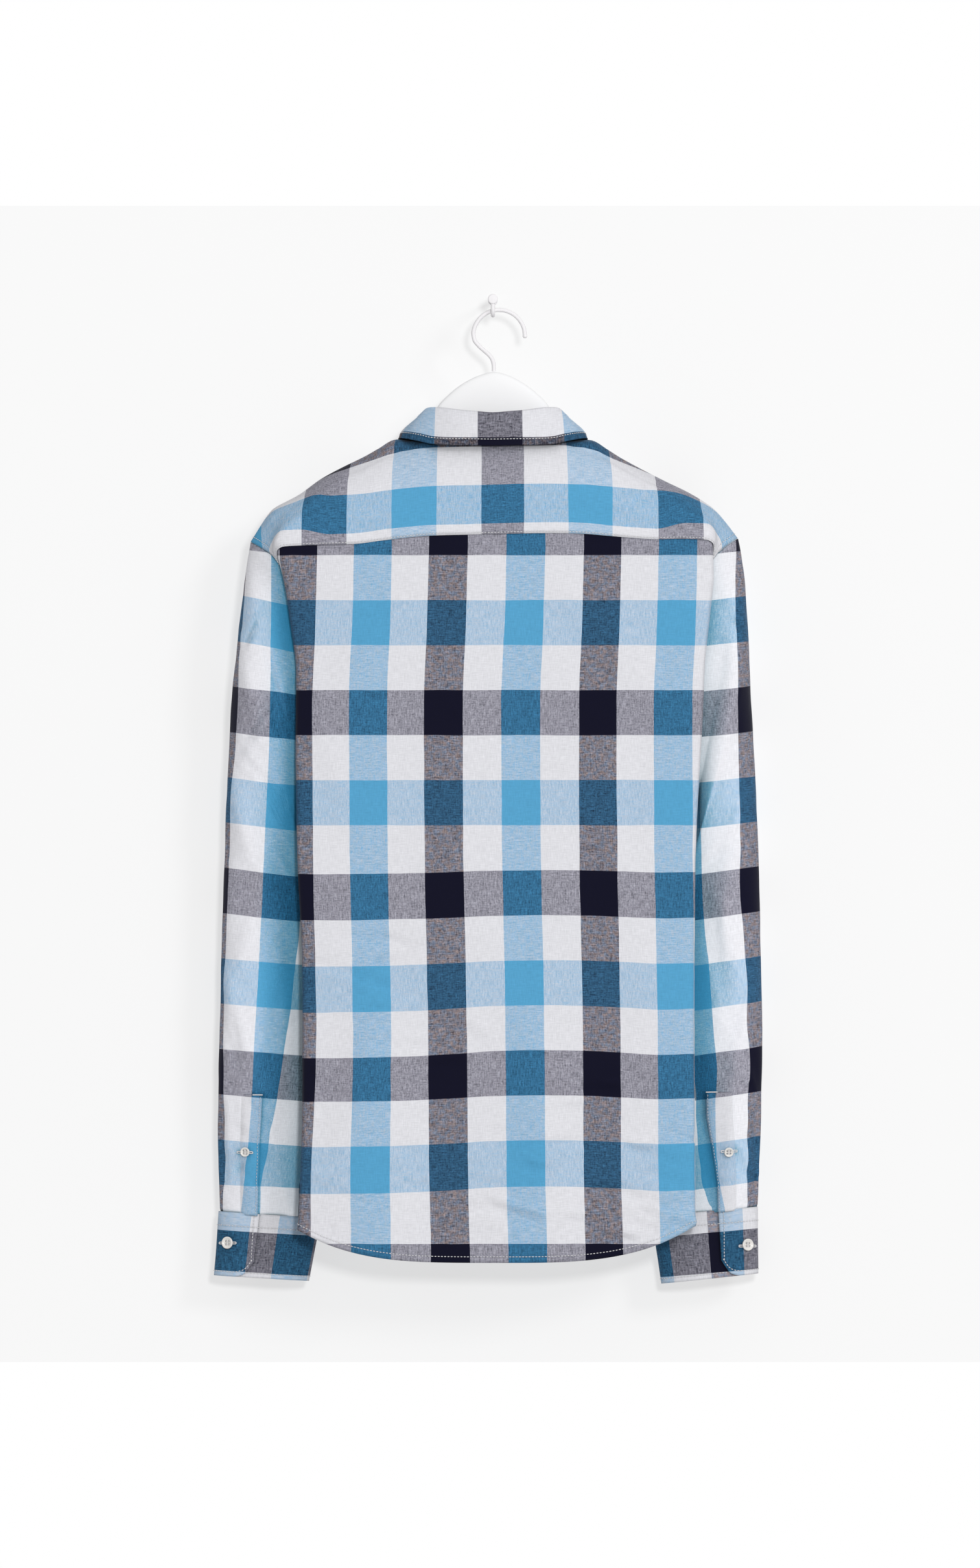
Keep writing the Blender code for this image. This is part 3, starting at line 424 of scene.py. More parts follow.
def neck_plan(degrees: Array) -> tuple[Array, Array, Array]:
    """Lay out the neckline.

    Args:
        degrees: Angles from the middle of the back.

    Returns:
        Its x, its z and its turn on the yoke.
    """
    angle = np.radians(degrees)
    x = NECK_HALF_WIDTH * np.sin(angle)
    forward = np.maximum(-np.cos(angle), 0)
    behind = forward > 0
    z = NECK_BACK_Z - NECK_SIDE_DROP * np.where(behind, 1, np.sin(angle) ** 2)
    z = z - NECK_FRONT_DROP * forward ** 2.2
    low = np.where(behind, front_seam_z(x), yoke_seam_z(x))
    rise = np.clip((z - low) / (shoulder_z(x) - low), 0, 1)
    turn = np.arcsin(rise ** (ARCH_RISE / 2)) * 2 / math.pi
    return x, z, np.where(behind, 2 - turn, turn)


def neck(degrees: Array) -> Array:
    """Place points of the neckline.

    Args:
        degrees: Angles from the middle of the back.

    Returns:
        The points.
    """
    x, z, turn = neck_plan(degrees)
    forward = np.maximum(-np.cos(np.radians(degrees)), 0)
    point = arch(x, turn)
    front_y = HANGER_Y + NECK_FRONT_REACH * forward ** .8
    point[..., 1] = np.where(forward > 0, front_y, point[..., 1])
    point[..., 2] = z
    return point


def ring(rows: tuple[Ring, ...], station: float, degrees: Array, bow: float = 0.0,
         inset: float = 0.0) -> Array:
    """Return points round a sleeve or a cuff.

    Args:
        rows: Its rings.
        station: Number of the ring, or a place between two.
        degrees: 0 is its outer edge and 90 the middle of its back.
        bow: 1 curves the ring as the armhole does.
        inset: How far inside the ring the points lie.

    Returns:
        The points.
    """
    read = {name: Profile([(i, getattr(row, name)) for i, row in enumerate(rows)])(station)
            for name in Ring._fields}
    angle = np.radians(degrees)
    across = (1 - np.cos(angle)) / 2
    curved = mix(across, 1 - (1 - across) ** 7.5, bow)
    around = np.clip(1 - np.abs(np.cos(angle)) ** read["square"], 0, 1) ** .5
    depth = (read["depth"] - inset) * around * np.sign(np.sin(angle))
    share = inset / np.hypot(read["inner_x"] - read["outer_x"], read["inner_z"] - read["outer_z"])
    x = mix(read["outer_x"], read["inner_x"], mix(share, 1 - share, curved))
    z = mix(read["outer_z"], read["inner_z"], mix(share, 1 - share, across))
    return np.stack([x, mix(read["outer_y"], read["inner_y"], across) - depth, z], -1)


def armhole(side: Side, degrees: Reals) -> Array:
    """Return points of the armhole."""
    return ring(side.rings, 0.0, degrees, 1.0)


def side_levels(side: Side) -> tuple[Array, Array]:
    """Return the heights of a side's rows down the armhole, then down the side seam."""
    arm = armhole(side, np.array((YOKE_ANGLE,) + ARMHOLE_BACK))[:, 2]
    return arm, np.linspace(arm[-1], HEM_Z + HEM_LIFT + 2, BODY_ROWS + 1)[1:]


def side_seam(side: Side, z: float) -> Array:
    """Return a point of the side seam below the armhole."""
    x = edge_x(side.sign, z) - side.sign * body_at["seam_in"](z)
    return np.stack([x, body_at["seam_y"](z), z], -1)


def hem_z(x: Array, low: float) -> Array:
    """Return the height of a curved hem."""
    return low + HEM_LIFT * (np.abs(x) / HEM_HALF) ** HEM_POWER


def turned_side(side: Side, z: float, top: Callable, end: Array) -> Array:
    """Lay one row of a folded side, from the yoke join out to the seam.

    Args:
        side: The side.
        z: Height of the row.
        top: Gives heights from x and the share of the fold.
        end: The row's point on the seam.

    Returns:
        The points.
    """
    centre_x = abs(float(edge_x(side.sign, z))) - FOLD_RADIUS
    flat = np.linspace(YOKE_JOIN_X, centre_x, FLAT_CELLS + 1)
    turn = np.radians(mix(110, 158, float(smooth((-236 - z) / 90))))
    angle = np.linspace(0, turn, TURN_CELLS + 1)[1:]
    x = side.sign * np.concatenate([flat, centre_x + FOLD_RADIUS * np.sin(angle)])
    face = float(back_y(side.sign * centre_x, z))
    y = np.concatenate([back_y(side.sign * flat, z), face + FOLD_RADIUS * (1 - np.cos(angle))])
    row = np.stack([x, y, np.full(len(x), float(z))], -1)
    row[:, 2] = top(row[:, 0], np.concatenate([np.zeros(len(flat)), angle / turn]))
    return np.concatenate([row, end[None]])


def across_row(z: float, top: Callable, ends: Sequence[Array]) -> Array:
    """Lay one row of the back, from the left seam round both folds to the right seam.

    Args:
        z: Height of the row.
        top: Gives heights from x and the share of the fold.
        ends: The row's points on the two seams.

    Returns:
        The points.
    """
    middle_x = np.linspace(-YOKE_JOIN_X, YOKE_JOIN_X, MIDDLE_CELLS + 1)[1:-1]
    middle = np.stack([middle_x, back_y(middle_x, z), top(middle_x, np.zeros(len(middle_x)))], -1)
    left = turned_side(LEFT, z, top, ends[0])[::-1]
    return np.concatenate([left, middle, turned_side(RIGHT, z, top, ends[1])])


def seam_row(shift: float) -> Array:
    """Lay the seam between the yoke and the back panel.

    Args:
        shift: How far up it is moved.

    Returns:
        The points.
    """
    ends = [armhole(side, YOKE_ANGLE) for side in (LEFT, RIGHT)]
    row = across_row(-236, lambda x, turned: yoke_seam_z(x) - SEAM_DIP * turned ** 2 + shift, ends)
    row[[0, -1], 2] += shift
    return row


def back_grid() -> Array:
    """Lay out the back panel.

    Returns:
        Its main points.
    """
    arm, low = side_levels(LEFT)
    arm_right, low_right = side_levels(RIGHT)
    levels = np.concatenate([arm, low])
    levels_right = np.concatenate([arm_right, low_right])
    rows = [seam_row(-GAP / 2)]
    for i in range(1, len(levels)):
        share = (levels[0] - levels[i]) / (levels[0] - levels[-1])

        def top(x: Array, turned: Array, share: float = share) -> Array:
            """Return heights of this row."""
            return mix(yoke_seam_z(x) - SEAM_DIP * turned ** 2, hem_z(x, HEM_Z), share)

        if i < len(arm):
            ends = [armhole(side, ARMHOLE_BACK[i - 1]) for side in (LEFT, RIGHT)]
        else:
            ends = [side_seam(LEFT, levels[i]), side_seam(RIGHT, levels_right[i])]
        for end in ends:
            end[1] -= GAP / 2
        rows.append(across_row((levels[i] + levels_right[i]) / 2, top, ends))
    return np.stack(rows)


def after(start: float, middle: float, stop: float, first: int) -> Array:
    """Return even steps from start to middle, then on to stop over the yoke's front rows."""
    return np.concatenate([np.linspace(start, middle, first + 1),
                           np.linspace(middle, stop, YOKE_FRONT_ROWS + 1)[1:]])


def yoke_grid() -> Array:
    """Lay out the yoke. Its points over the neck opening only guide the opening's edge.

    Returns:
        Its main points.
    """
    over = YOKE_BACK_ROWS + YOKE_TOP_ROWS
    rows = over + YOKE_FRONT_ROWS
    columns = 2 * SHOULDER_CELLS + MIDDLE_CELLS
    grid = np.zeros((rows + 1, columns + 1, 3))
    seam = seam_row(GAP / 2)
    along = travelled(seam_row(0.0)[-SHOULDER_CELLS - 1:], 0)
    shares = along / along[-1]
    join_angle = math.degrees(math.asin(YOKE_JOIN_X / NECK_HALF_WIDTH))
    neck_angles = np.concatenate([np.full(YOKE_BACK_ROWS, join_angle),
                                  after(join_angle, 90, NECK_SEAM_ANGLE, YOKE_TOP_ROWS)])
    arm_angles = after(YOKE_ANGLE, 0, YOKE_FRONT_ANGLE - 360, over) % 360
    arm_turn = after(0, 1, 2, over)
    for side in (LEFT, RIGHT):
        neck_x, _, neck_turn = neck_plan(neck_angles * side.sign)
        neck_turn[:YOKE_BACK_ROWS] = neck_turn[YOKE_BACK_ROWS] * np.arange(YOKE_BACK_ROWS) / YOKE_BACK_ROWS
        arm = armhole(side, arm_angles)
        form = arch(mix(neck_x[:, None], arm[:, None, 0], shares),
                    mix(neck_turn[:, None], arm_turn[:, None], shares))
        form = form + (arm - form[:, -1])[:, None] * smooth((shares - .7) / .3)[None, :, None]
        pull = (1 - smooth(shares / .3))[:, None]
        for j in range(YOKE_BACK_ROWS, rows + 1):
            form[j] += (neck(neck_angles[j] * side.sign) - form[j, 0]) * pull
        first = slice(None, SHOULDER_CELLS + 1)
        last = slice(columns - SHOULDER_CELLS, None)
        grid[:, first if side.sign < 0 else last] = form[:, ::side.sign]
    up = np.arange(YOKE_BACK_ROWS + 1) / YOKE_BACK_ROWS
    beyond = np.arange(1, rows - YOKE_BACK_ROWS + 1)[:, None] * .8
    for i in range(1, MIDDLE_CELLS):
        angle = mix(-join_angle, join_angle, i / MIDDLE_CELLS)
        neck_x, _, neck_turn = neck_plan(np.array(angle))
        column = grid[:, SHOULDER_CELLS + i]
        column[:YOKE_BACK_ROWS + 1] = arch(mix(seam[SHOULDER_CELLS + i, 0], neck_x, up), neck_turn * up)
        edge, under = column[YOKE_BACK_ROWS], column[YOKE_BACK_ROWS - 1]
        column[YOKE_BACK_ROWS + 1:] = edge + (edge - under) * beyond
    fade = smooth(1 - np.arange(rows + 1) / YOKE_BACK_ROWS)
    grid += (seam - grid[0])[None] * fade[:, None, None]
    return grid


def front_y(x: Array, z: Array) -> Array:
    """Place the front, which swells towards the wall between the sleeves.

    Args:
        x: Places across.
        z: Heights.

    Returns:
        Its y.
    """
    swell = 1 - smooth((np.abs(x) - body_at["bulge_in"](z)) /
                       (body_at["bulge_out"](z) - body_at["bulge_in"](z)))
    return mix(body_at["side_y"](z), body_at["centre_y"](z), swell) + waves(FRONT_WAVES, x, z)


def front_grid(side: Side, yoke: Array) -> Array:
    """Lay out one front, from its armhole and side seam past the middle.

    Args:
        side: The side.
        yoke: The yoke's main points, whose last row is the front seam.

    Returns:
        Its main points.
    """
    seam = yoke[-1, ::-side.sign][:SHOULDER_CELLS + 1]
    edge = -side.sign * PLACKET_HALF
    inner = np.linspace(seam[-1, 0], side.sign * PLACKET_HALF, NECK_CELLS - 1)[1:]
    lap_x = np.concatenate([inner, [0, edge]])
    share = np.clip(np.abs(lap_x) / NECK_HALF_WIDTH, 0, 1)
    lap = neck(180 - np.degrees(np.arcsin(share)))
    lap[:, 0] = lap_x
    top = np.concatenate([seam, lap])
    top[:, 2] -= 2 * GAP
    arm, low = side_levels(side)
    levels = np.concatenate([arm, low])
    front_angles = (YOKE_FRONT_ANGLE,) + ARMHOLE_FRONT[-2::-1] + (180.0,)
    rows = [top]
    for i in range(1, len(levels)):
        above = i < len(arm)
        start = armhole(side, front_angles[i]) if above else side_seam(side, levels[i])
        share = (levels[0] - (float(start[2]) if above else levels[i])) / (levels[0] - levels[-1])
        start[0] -= side.sign * GAP * (3 + 4 * smooth((levels[i] + 580) / 70)) * (not above)
        start[1] += GAP / 2
        across = (top[:, 0] - top[0, 0]) / (top[-1, 0] - top[0, 0])
        x = mix(start[0], edge, across)
        z = mix(top[:, 2], hem_z(x, FRONT_HEM_Z), share)
        row = np.stack([x, front_y(x, z), z], -1)
        row += (start - row[0]) * (1 - smooth(np.abs(x - start[0]) / 45))[:, None]
        rows.append(row)
    grid = np.stack(rows)
    form = front_y(top[:, 0], top[:, 2])
    grid[1:4, :, 1] += (top[:, 1] - form)[None] * smooth(1 - np.arange(1, 4) / 4)[:, None]
    if side.sign > 0:
        under = smooth((PLACKET_HALF + UNDERLAP - np.abs(grid[..., 0])) / UNDERLAP)
        grid[..., 1] -= UNDER_STEP * under
    return grid


def sleeve_grid(side: Side) -> Array:
    """Lay out a sleeve, ring by ring from the armhole, its columns passing from there to the cuff.

    Args:
        side: The side.

    Returns:
        Its main points.
    """
    over = np.linspace(0, YOKE_ANGLE, YOKE_BACK_ROWS + YOKE_TOP_ROWS + 1)
    front = np.linspace(YOKE_FRONT_ANGLE, 360, YOKE_FRONT_ROWS + 1)[:-1]
    arm = np.concatenate([over, ARMHOLE_BACK, ARMHOLE_FRONT[:-1], front])
    rows = []
    for station in SLEEVE_STATIONS:
        low = np.array(LOW_ANGLES, float)
        slit = mix(side.slit_top, side.slit_low, float(smooth((station - 6.4) / 1.6)))
        low[1:PLACKET_LAST + 1] *= math.degrees(math.acos(1 - 2 * slit)) / LOW_ANGLES[PLACKET_LAST]
        angles = mix(arm, low, float(smooth(station / 3)))
        bow = 1 - float(smooth(station / 1.2))
        inset = 2 * GAP * (1 - float(smooth(station)))
        rows.append(ring(side.rings, float(station), angles, bow, inset))
    return np.stack(rows)


def cuff_grid(side: Side) -> Array:
    """Lay out a cuff: a band that laps over its own start.

    Args:
        side: The side.

    Returns:
        Its main points.
    """
    last = 360 + math.degrees(math.acos(1 - 2 * side.cuff_end))
    width = abs(side.cuff[0].outer_x - side.cuff[0].inner_x)
    first = math.degrees(math.acos(1 - 2 * (side.cuff_end - CUFF_OVERLAP / width)))
    turned = last - 360
    lap = np.array([first, mix(first, turned, .5), turned, turned + 10])
    body = np.linspace(turned + 26, 348, 17)
    angles = np.concatenate([lap, body, [360], np.linspace(367, last, 7)])
    tuck = (CUFF_CLOTH + GAP + .2) * (1 - smooth((angles - turned - 4) / 24))
    near_end = np.clip(1 - (last - angles) / 26, 0, 1)
    corner = CUFF_CORNER * (1 - np.sqrt(1 - near_end ** 2)) / CUFF_DEPTH
    rows = []
    for share in (0, .35, .7, 1):
        station = share * (1 - corner)
        columns = [ring(side.cuff, s, a, 0.0, t) for s, a, t in zip(station, angles, tuck)]
        rows.append(np.stack(columns))
    return np.stack(rows)


def mirrored(angles: Sequence[float]) -> Array:
    """Return angles from the wearer's left, round the back, to the right."""
    row = np.array(angles, float)
    return np.concatenate([-row[:0:-1], row])


def collar_seat(degrees: Array) -> tuple[Array, Array]:
    """Return x and y of the stand's top, where the collar rolls over."""
    x, forward = COLLAR_SEAT * np.sin(np.radians(degrees)), -np.cos(np.radians(degrees))
    return x, HANGER_Y + np.where(forward > 0, SEAT_FRONT, SEAT_BACK) * forward


def stand_grid() -> Array:
    """Lay out the collar stand.

    Returns:
        Its main points.
    """
    angles = mirrored(COLLAR_CELLS[:-1] + (168, 180, 191))
    low = neck(np.abs(angles))
    low[:, 0] = np.sign(angles) * low[:, 0]
    low[:, 2] += GAP + .25
    x, y = collar_seat(np.abs(angles))
    high = np.stack([x * np.sign(angles), y, collar_roll(np.minimum(np.abs(angles), 172)) - 2.4], -1)
    grid = np.stack([mix(low, high, share) for share in (0, .5, 1)])
    grid[..., 1] -= UNDER_STEP * smooth((angles - 155) / 13)
    return grid


def leaf_grid() -> Array:
    """Lay out the collar leaf, from the roll down to its edge and points.

    Returns:
        Its main points.
    """
    angles = mirrored(COLLAR_CELLS)
    size = np.abs(angles)
    sign = np.sign(angles)
    x, y = collar_seat(size)
    away = np.stack([sign * np.sin(np.radians(size)), -np.cos(np.radians(size)), 0 * size], -1)
    ridge = np.stack([sign * x, y, collar_roll(size)], -1)
    high = ridge + away * 3.2 - (0, 0, 2.4)
    turn = collar_edge_angle(size)
    forward = -np.cos(np.radians(turn))
    reach = LEAF_REACH * np.where(forward > 0, np.abs(forward) ** .6, -np.abs(forward))
    aside = np.sin(np.radians(turn))
    low = np.stack([sign * COLLAR_SPREAD * aside, HANGER_Y + reach, collar_edge_z(turn)], -1)
    crown = 1.6 + 3.4 * smooth((size - 72) / 20) * smooth((160 - size) / 30)
    middle = crown[:, None] * np.stack([sign * aside, forward, .4 * (crown - 1.6) / 3.4], -1)
    over = [ridge - away * 1.0, ridge + away * 1.6 - (0, 0, .5)]
    fall = [mix(high, low, share) + middle * 4 * share * (1 - share) for share in (0, .33, .67, 1)]
    return np.stack(over + fall)

# ---------------------------------------------------------------- fine sheets of cloth


class Fold(NamedTuple):
    """A soft ridge with a trough beside it, between two places on a piece, seen from the back."""

    x0: float
    z0: float
    x1: float
    z1: float
    width: float
    depth: float
    bend: float = 0.0


class Edge(Enum):
    """An edge of a sheet's grid of points."""

    TOP = "first row"
    FOOT = "last row"
    START = "first column"
    END = "last column"


TROUGH_SHARE, TROUGH_ASIDE, TROUGH_WIDTH = .55, 1.7, 1.3
CREASE_WIDTH, CREASE_BEND = (2.6, 5.2), 5.0


def fold_depth(folds: Sequence[Fold], x: Array, z: Array) -> Array:
    """Return how far folds lift the cloth at each place.

    Args:
        folds: The folds.
        x: Places across, in millimetres.
        z: Heights, in millimetres.

    Returns:
        Heights above the plain sheet; a trough is below 0.
    """
    lift = np.zeros(x.shape)
    for fold in folds:
        dx, dz = fold.x1 - fold.x0, fold.z1 - fold.z0
        length = math.hypot(dx, dz)
        along = ((x - fold.x0) * dx + (z - fold.z0) * dz) / length ** 2
        side = ((x - fold.x0) * dz - (z - fold.z0) * dx) / length
        near = (along > -.4) & (along < 1.4) & (np.abs(side) < 5 * fold.width + abs(fold.bend))
        along, side = along[near], side[near] - fold.bend * 4 * along[near] * (1 - along[near])
        s = side / (fold.width * (.75 + .5 * along))
        section = np.exp(-s * s) - TROUGH_SHARE * np.exp(-((s - TROUGH_ASIDE) / TROUGH_WIDTH) ** 2)
        fade = smooth((along + .12) / .35) * smooth((1.15 - along) / .4)
        lift[near] += fold.depth * section * fade
    return lift


def scattered(seed: int, count: int, x: Pair, z: Pair,
              length: Pair, slope: Pair, depth: float) -> list[Fold]:
    """Return small creases of uneven length, depth and spacing.

    Args:
        seed: Fixed seed.
        count: How many there are.
        x: Range of their middles across.
        z: Range of their middles in height.
        length: Shortest and longest, in millimetres.
        slope: Range of their angle from level, in degrees.
        depth: The deepest, in millimetres.

    Returns:
        The creases.
    """
    rng = np.random.default_rng(seed)
    made = []
    for _ in range(count):
        half = rng.uniform(*length) / 2
        turn = math.radians(rng.uniform(*slope))
        cx, cz = rng.uniform(*x), rng.uniform(*z)
        dx, dz = half * math.cos(turn), half * math.sin(turn)
        width = rng.uniform(*CREASE_WIDTH)
        tall = depth * rng.uniform(.35, 1) * rng.choice([-1, 1])
        made.append(Fold(cx - dx, cz - dz, cx + dx, cz + dz, width, tall,
                         rng.uniform(-CREASE_BEND, CREASE_BEND)))
    return made


def crumple(points: Array, seed: int, size: float, height: float) -> Array:
    """Return a gentle unevenness all over a sheet, as the sum of a few slow waves.

    Args:
        points: The sheet's points.
        seed: Fixed seed.
        size: Length of the waves, in millimetres.
        height: Their height, in millimetres.

    Returns:
        A height for each point.
    """
    rng = np.random.default_rng(seed)
    out = np.zeros(points.shape[:2])
    for _ in range(9):
        way = rng.normal(size=3)
        way[2] *= .7
        pitch = size * rng.uniform(.7, 1.6)
        phase = points @ (way / np.linalg.norm(way)) * math.tau / pitch + rng.uniform(0, math.tau)
        out += np.sin(phase + 1.3 * np.sin(phase * .37 + rng.uniform(0, 6)))
    return out * height / 3


def linked(name: str, data: ID) -> Object:
    """Return a new object that shows some data, put in the scene."""
    bpy.context.scene.collection.objects.link(made := bpy.data.objects.new(name, data))
    return made


def settled(piece: Object) -> Object:
    """Give an object its evaluated mesh, with no modifier left on it.

    Args:
        piece: The object.

    Returns:
        The same object.
    """
    graph = bpy.context.evaluated_depsgraph_get()
    mesh = bpy.data.meshes.new_from_object(piece.evaluated_get(graph), depsgraph=graph)
    piece.modifiers.clear()
    piece.data = mesh
    mesh.name = piece.name
    return piece


@dataclass
class Sheet:
    """A fine sheet of cloth: a grid of points on its outer face, with cloth coordinates."""

    name: str
    points: Array
    cloth: Array
    outward: float
    joined: bool = False
    holds: Array | None = None
    normals: Array = field(init=False)

    def __post_init__(self) -> None:
        """Work out the normals."""
        self.refresh()

    def refresh(self) -> None:
        """Work out the normals again after the points have moved."""
        pts = self.points
        if self.joined:
            wide = np.concatenate([pts[:, -2:-1], pts, pts[:, 1:2]], axis=1)
            along = (wide[:, 2:] - wide[:, :-2]) / 2
        else:
            along = np.gradient(pts, axis=1)
        normal = np.cross(np.gradient(pts, axis=0), along)
        size = np.linalg.norm(normal, axis=-1, keepdims=True)
        self.normals = normal / np.maximum(size, 1e-9) * self.outward

    def lift(self, height: Array, way: Array | None = None) -> None:
        """Move the points out of the sheet, or along one way.

        Args:
            height: How far each point moves.
            way: Directions to move in; None is the sheet's normals.
        """
        if self.joined:
            height = height.copy()
            height[:, -1] = height[:, 0]
        self.points = self.points + height[..., None] * (self.normals if way is None else way)
        self.refresh()

    def inside(self, edge: Edge) -> Array:
        """Measure over the sheet from one edge.

        Args:
            edge: The edge.

        Returns:
            Each point's distance from it.
        """
        away = travelled(self.points, 0 if edge in (Edge.TOP, Edge.FOOT) else 1)
        if edge is Edge.FOOT:
            return away[-1:] - away
        if edge is Edge.END:
            return away[:, -1:] - away
        return away

    def spot(self, row: float, column: float) -> tuple[Array, Array]:
        """Read the sheet at a place of its grid.

        Args:
            row: Row, or a place between two.
            column: Column, or a place between two.

        Returns:
            The point and the outward normal.
        """
        i = int(np.clip(row, 0, len(self.points) - 1.001))
        j = int(np.clip(column, 0, self.points.shape[1] - 1.001))
        found = []
        for values in (self.points, self.normals):
            above = mix(values[i, j], values[i, j + 1], column - j)
            below = mix(values[i + 1, j], values[i + 1, j + 1], column - j)
            found.append(mix(above, below, row - i))
        return found[0], found[1] / np.linalg.norm(found[1])

    def rail(self, edge: Edge, distance: float, start: float = 0.0, stop: float = 1.0,
             lift: float = .45) -> Array:
        """Return a line that keeps one distance from an edge.

        Args:
            edge: The edge.
            distance: In millimetres.
            start: Share of the edge where the line starts.
            stop: Share where it stops.
            lift: How far it lies above the sheet.

        Returns:
            The line's points.
        """
        upright = edge in (Edge.START, Edge.END)
        away = self.inside(edge).T if upright else self.inside(edge)
        count = away.shape[1]
        line = []
        for j in range(int(start * (count - 1)), int(round(stop * (count - 1))) + 1):
            column = away[:, j]
            order = np.argsort(column)
            at = float(np.interp(distance, column[order], np.arange(len(column))[order]))
            point, normal = self.spot(j, at) if upright else self.spot(at, j)
            line.append(point + normal * lift)
        return np.array(line)

    def measure(self) -> Triple:
        """Measure the piece laid flat.

        Returns:
            Its width and length in metres, and its area in square metres.
        """
        pts = self.points
        one = np.linalg.norm(np.cross(pts[1:, 1:] - pts[:-1, :-1], pts[1:, :-1] - pts[:-1, 1:]), axis=-1)
        cells = one / 2 * (1 if self.holds is None else self.holds)
        width = float(travelled(pts, 1)[:, -1].max()) * MM
        length = float(travelled(pts, 0)[-1].max()) * MM
        area = float(cells.sum()) * MM * MM
        return width, length, min(max(area, .3 * width * length), width * length)

    def build(self, material: Material, shell: float = CLOTH_SHELL) -> Object:
        """Return the sheet as an object with a wall, its UV map in metres of cloth.

        Args:
            material: Its finish.
            shell: Thickness of the wall, in millimetres.

        Returns:
            The object.
        """
        rows, columns = self.points.shape[:2]
        across = columns - 1 if self.joined else columns
        index = np.arange(rows)[:, None] * across + np.arange(columns)[None, :] % across
        order = ((0, 0), (1, 0), (1, 1), (0, 1)) if self.outward > 0 else ((0, 0), (0, 1), (1, 1), (1, 0))
        cells = [(slice(r, rows - 1 + r), slice(c, columns - 1 + c)) for r, c in order]
        faces = np.stack([index[cell] for cell in cells], -1)
        uv = np.stack([self.cloth[cell] for cell in cells], 2)
        keep = np.ones(faces.shape[:2], bool) if self.holds is None else self.holds
        faces, uv = faces[keep], uv[keep]
        used, inverse = np.unique(faces, return_inverse=True)
        places = self.points[:, :across].reshape(-1, 3)[used] * MM
        mesh = bpy.data.meshes.new(self.name)
        mesh.from_pydata(places.tolist(), [], inverse.reshape(faces.shape).tolist())
        layer = mesh.uv_layers.new(name=UV_NAME)
        layer.data.foreach_set("uv", (uv.reshape(-1) * MM).astype(np.float32))
        mesh.shade_smooth()
        mesh.materials.append(material)
        piece = linked(self.name, mesh)
        wall = piece.modifiers.new("Wall", "SOLIDIFY")
        wall.thickness = shell * MM
        wall.offset = -1
        return settled(piece)


def crease(sheet: Sheet, folds: Sequence[Fold], way: int = -1) -> None:
    """Fold the side of a sheet that faces -Y (way -1) or +Y (way 1)."""
    facing = smooth((way * sheet.normals[..., 1] - .05) / .4)
    sheet.lift(fold_depth(folds, sheet.points[..., 0], sheet.points[..., 2]) * facing)


# ---------------------------------------------------------------- node trees


@dataclass(frozen=True)
class Value:
    """Something that passes through a node tree; the usual signs work out sums with it."""

    tree: Tree
    socket: NodeSocket

    def __add__(self, other: object) -> Value:
        """Return the sum."""
        return self.tree.math("ADD", self, other)

    def __sub__(self, other: object) -> Value:
        """Return the difference."""
        return self.tree.math("SUBTRACT", self, other)

    def __mul__(self, other: object) -> Value:
        """Return the product."""
        return self.tree.math("MULTIPLY", self, other)

    def __truediv__(self, other: object) -> Value:
        """Return the quotient."""
        return self.tree.math("DIVIDE", self, other)

    def held(self) -> Value:
        """Return the number, kept between 0 and 1."""
        return self.tree.math("MINIMUM", self.tree.math("MAXIMUM", self, 0.0), 1.0)


class Tree:
    """Adds nodes to a node tree and joins them."""

    def __init__(self, tree: NodeTree) -> None:
        """Hold the tree that the nodes go into."""
        self.tree = tree

    def feed(self, node: Node, inputs: dict) -> None:
        """Set a node's inputs.

        Args:
            node: The node.
            inputs: Socket name or number to a plain value, or to the output that feeds it.
        """
        for key, value in inputs.items():
            source = value.socket if isinstance(value, Value) else value
            if isinstance(source, NodeSocket):
                self.tree.links.new(source, node.inputs[key])
            else:
                node.inputs[key].default_value = source

    def add(self, kind: str, inputs: dict | None = None, **settings: object) -> Node:
        """Add a node.

        Args:
            kind: Its type's identifier.
            inputs: As for feed.
            **settings: Attributes of the node.

        Returns:
            The node.
        """
        node = self.tree.nodes.new(kind)
        for key, value in settings.items():
            setattr(node, key, value)
        self.feed(node, inputs or {})
        return node

    def value(self, kind: str, inputs: dict | None = None, output: int | str = 0,
              **settings: object) -> Value:
        """Add a node and return one of its outputs."""
        return Value(self, self.add(kind, inputs, **settings).outputs[output])

    def given(self) -> dict[str, Value]:
        """Return the group's own inputs, by name."""
        return {socket.name: Value(self, socket) for socket in self.add("NodeGroupInput").outputs}

    def math(self, operation: str, *values: object) -> Value:
        """Return the result of one calculation."""
        return self.value("ShaderNodeMath", dict(enumerate(values)), operation=operation)

    def noise(self, place: object, scale: float, detail: float = 2.0,
              stretch: Triple = (1, 1, 1)) -> Value:
        """Make noise over a place.

        Args:
            place: The coordinates.
            scale: Repeats in a metre.
            detail: Its octaves.
            stretch: Factors along the three axes.

        Returns:
            The noise, from 0 to 1.
        """
        moved = self.value("ShaderNodeMapping", {"Vector": place, "Scale": stretch})
        return self.value("ShaderNodeTexNoise", {"Vector": moved, "Scale": scale, "Detail": detail,
                                                 "Roughness": .55}, "Fac")

    def blend(self, factor: object, first: object, second: object, kind: str = "MIX") -> Value:
        """Return two colours mixed, or the first one tinted with MULTIPLY."""
        return self.value("ShaderNodeMix", {0: factor, 6: first, 7: second}, 2, data_type="RGBA",
                          blend_type=kind)

    def scaled(self, colour: object, factor: object) -> Value:
        """Return a colour made lighter or darker by a factor."""
        return self.value("ShaderNodeVectorMath", {0: colour, "Scale": factor}, operation="SCALE")


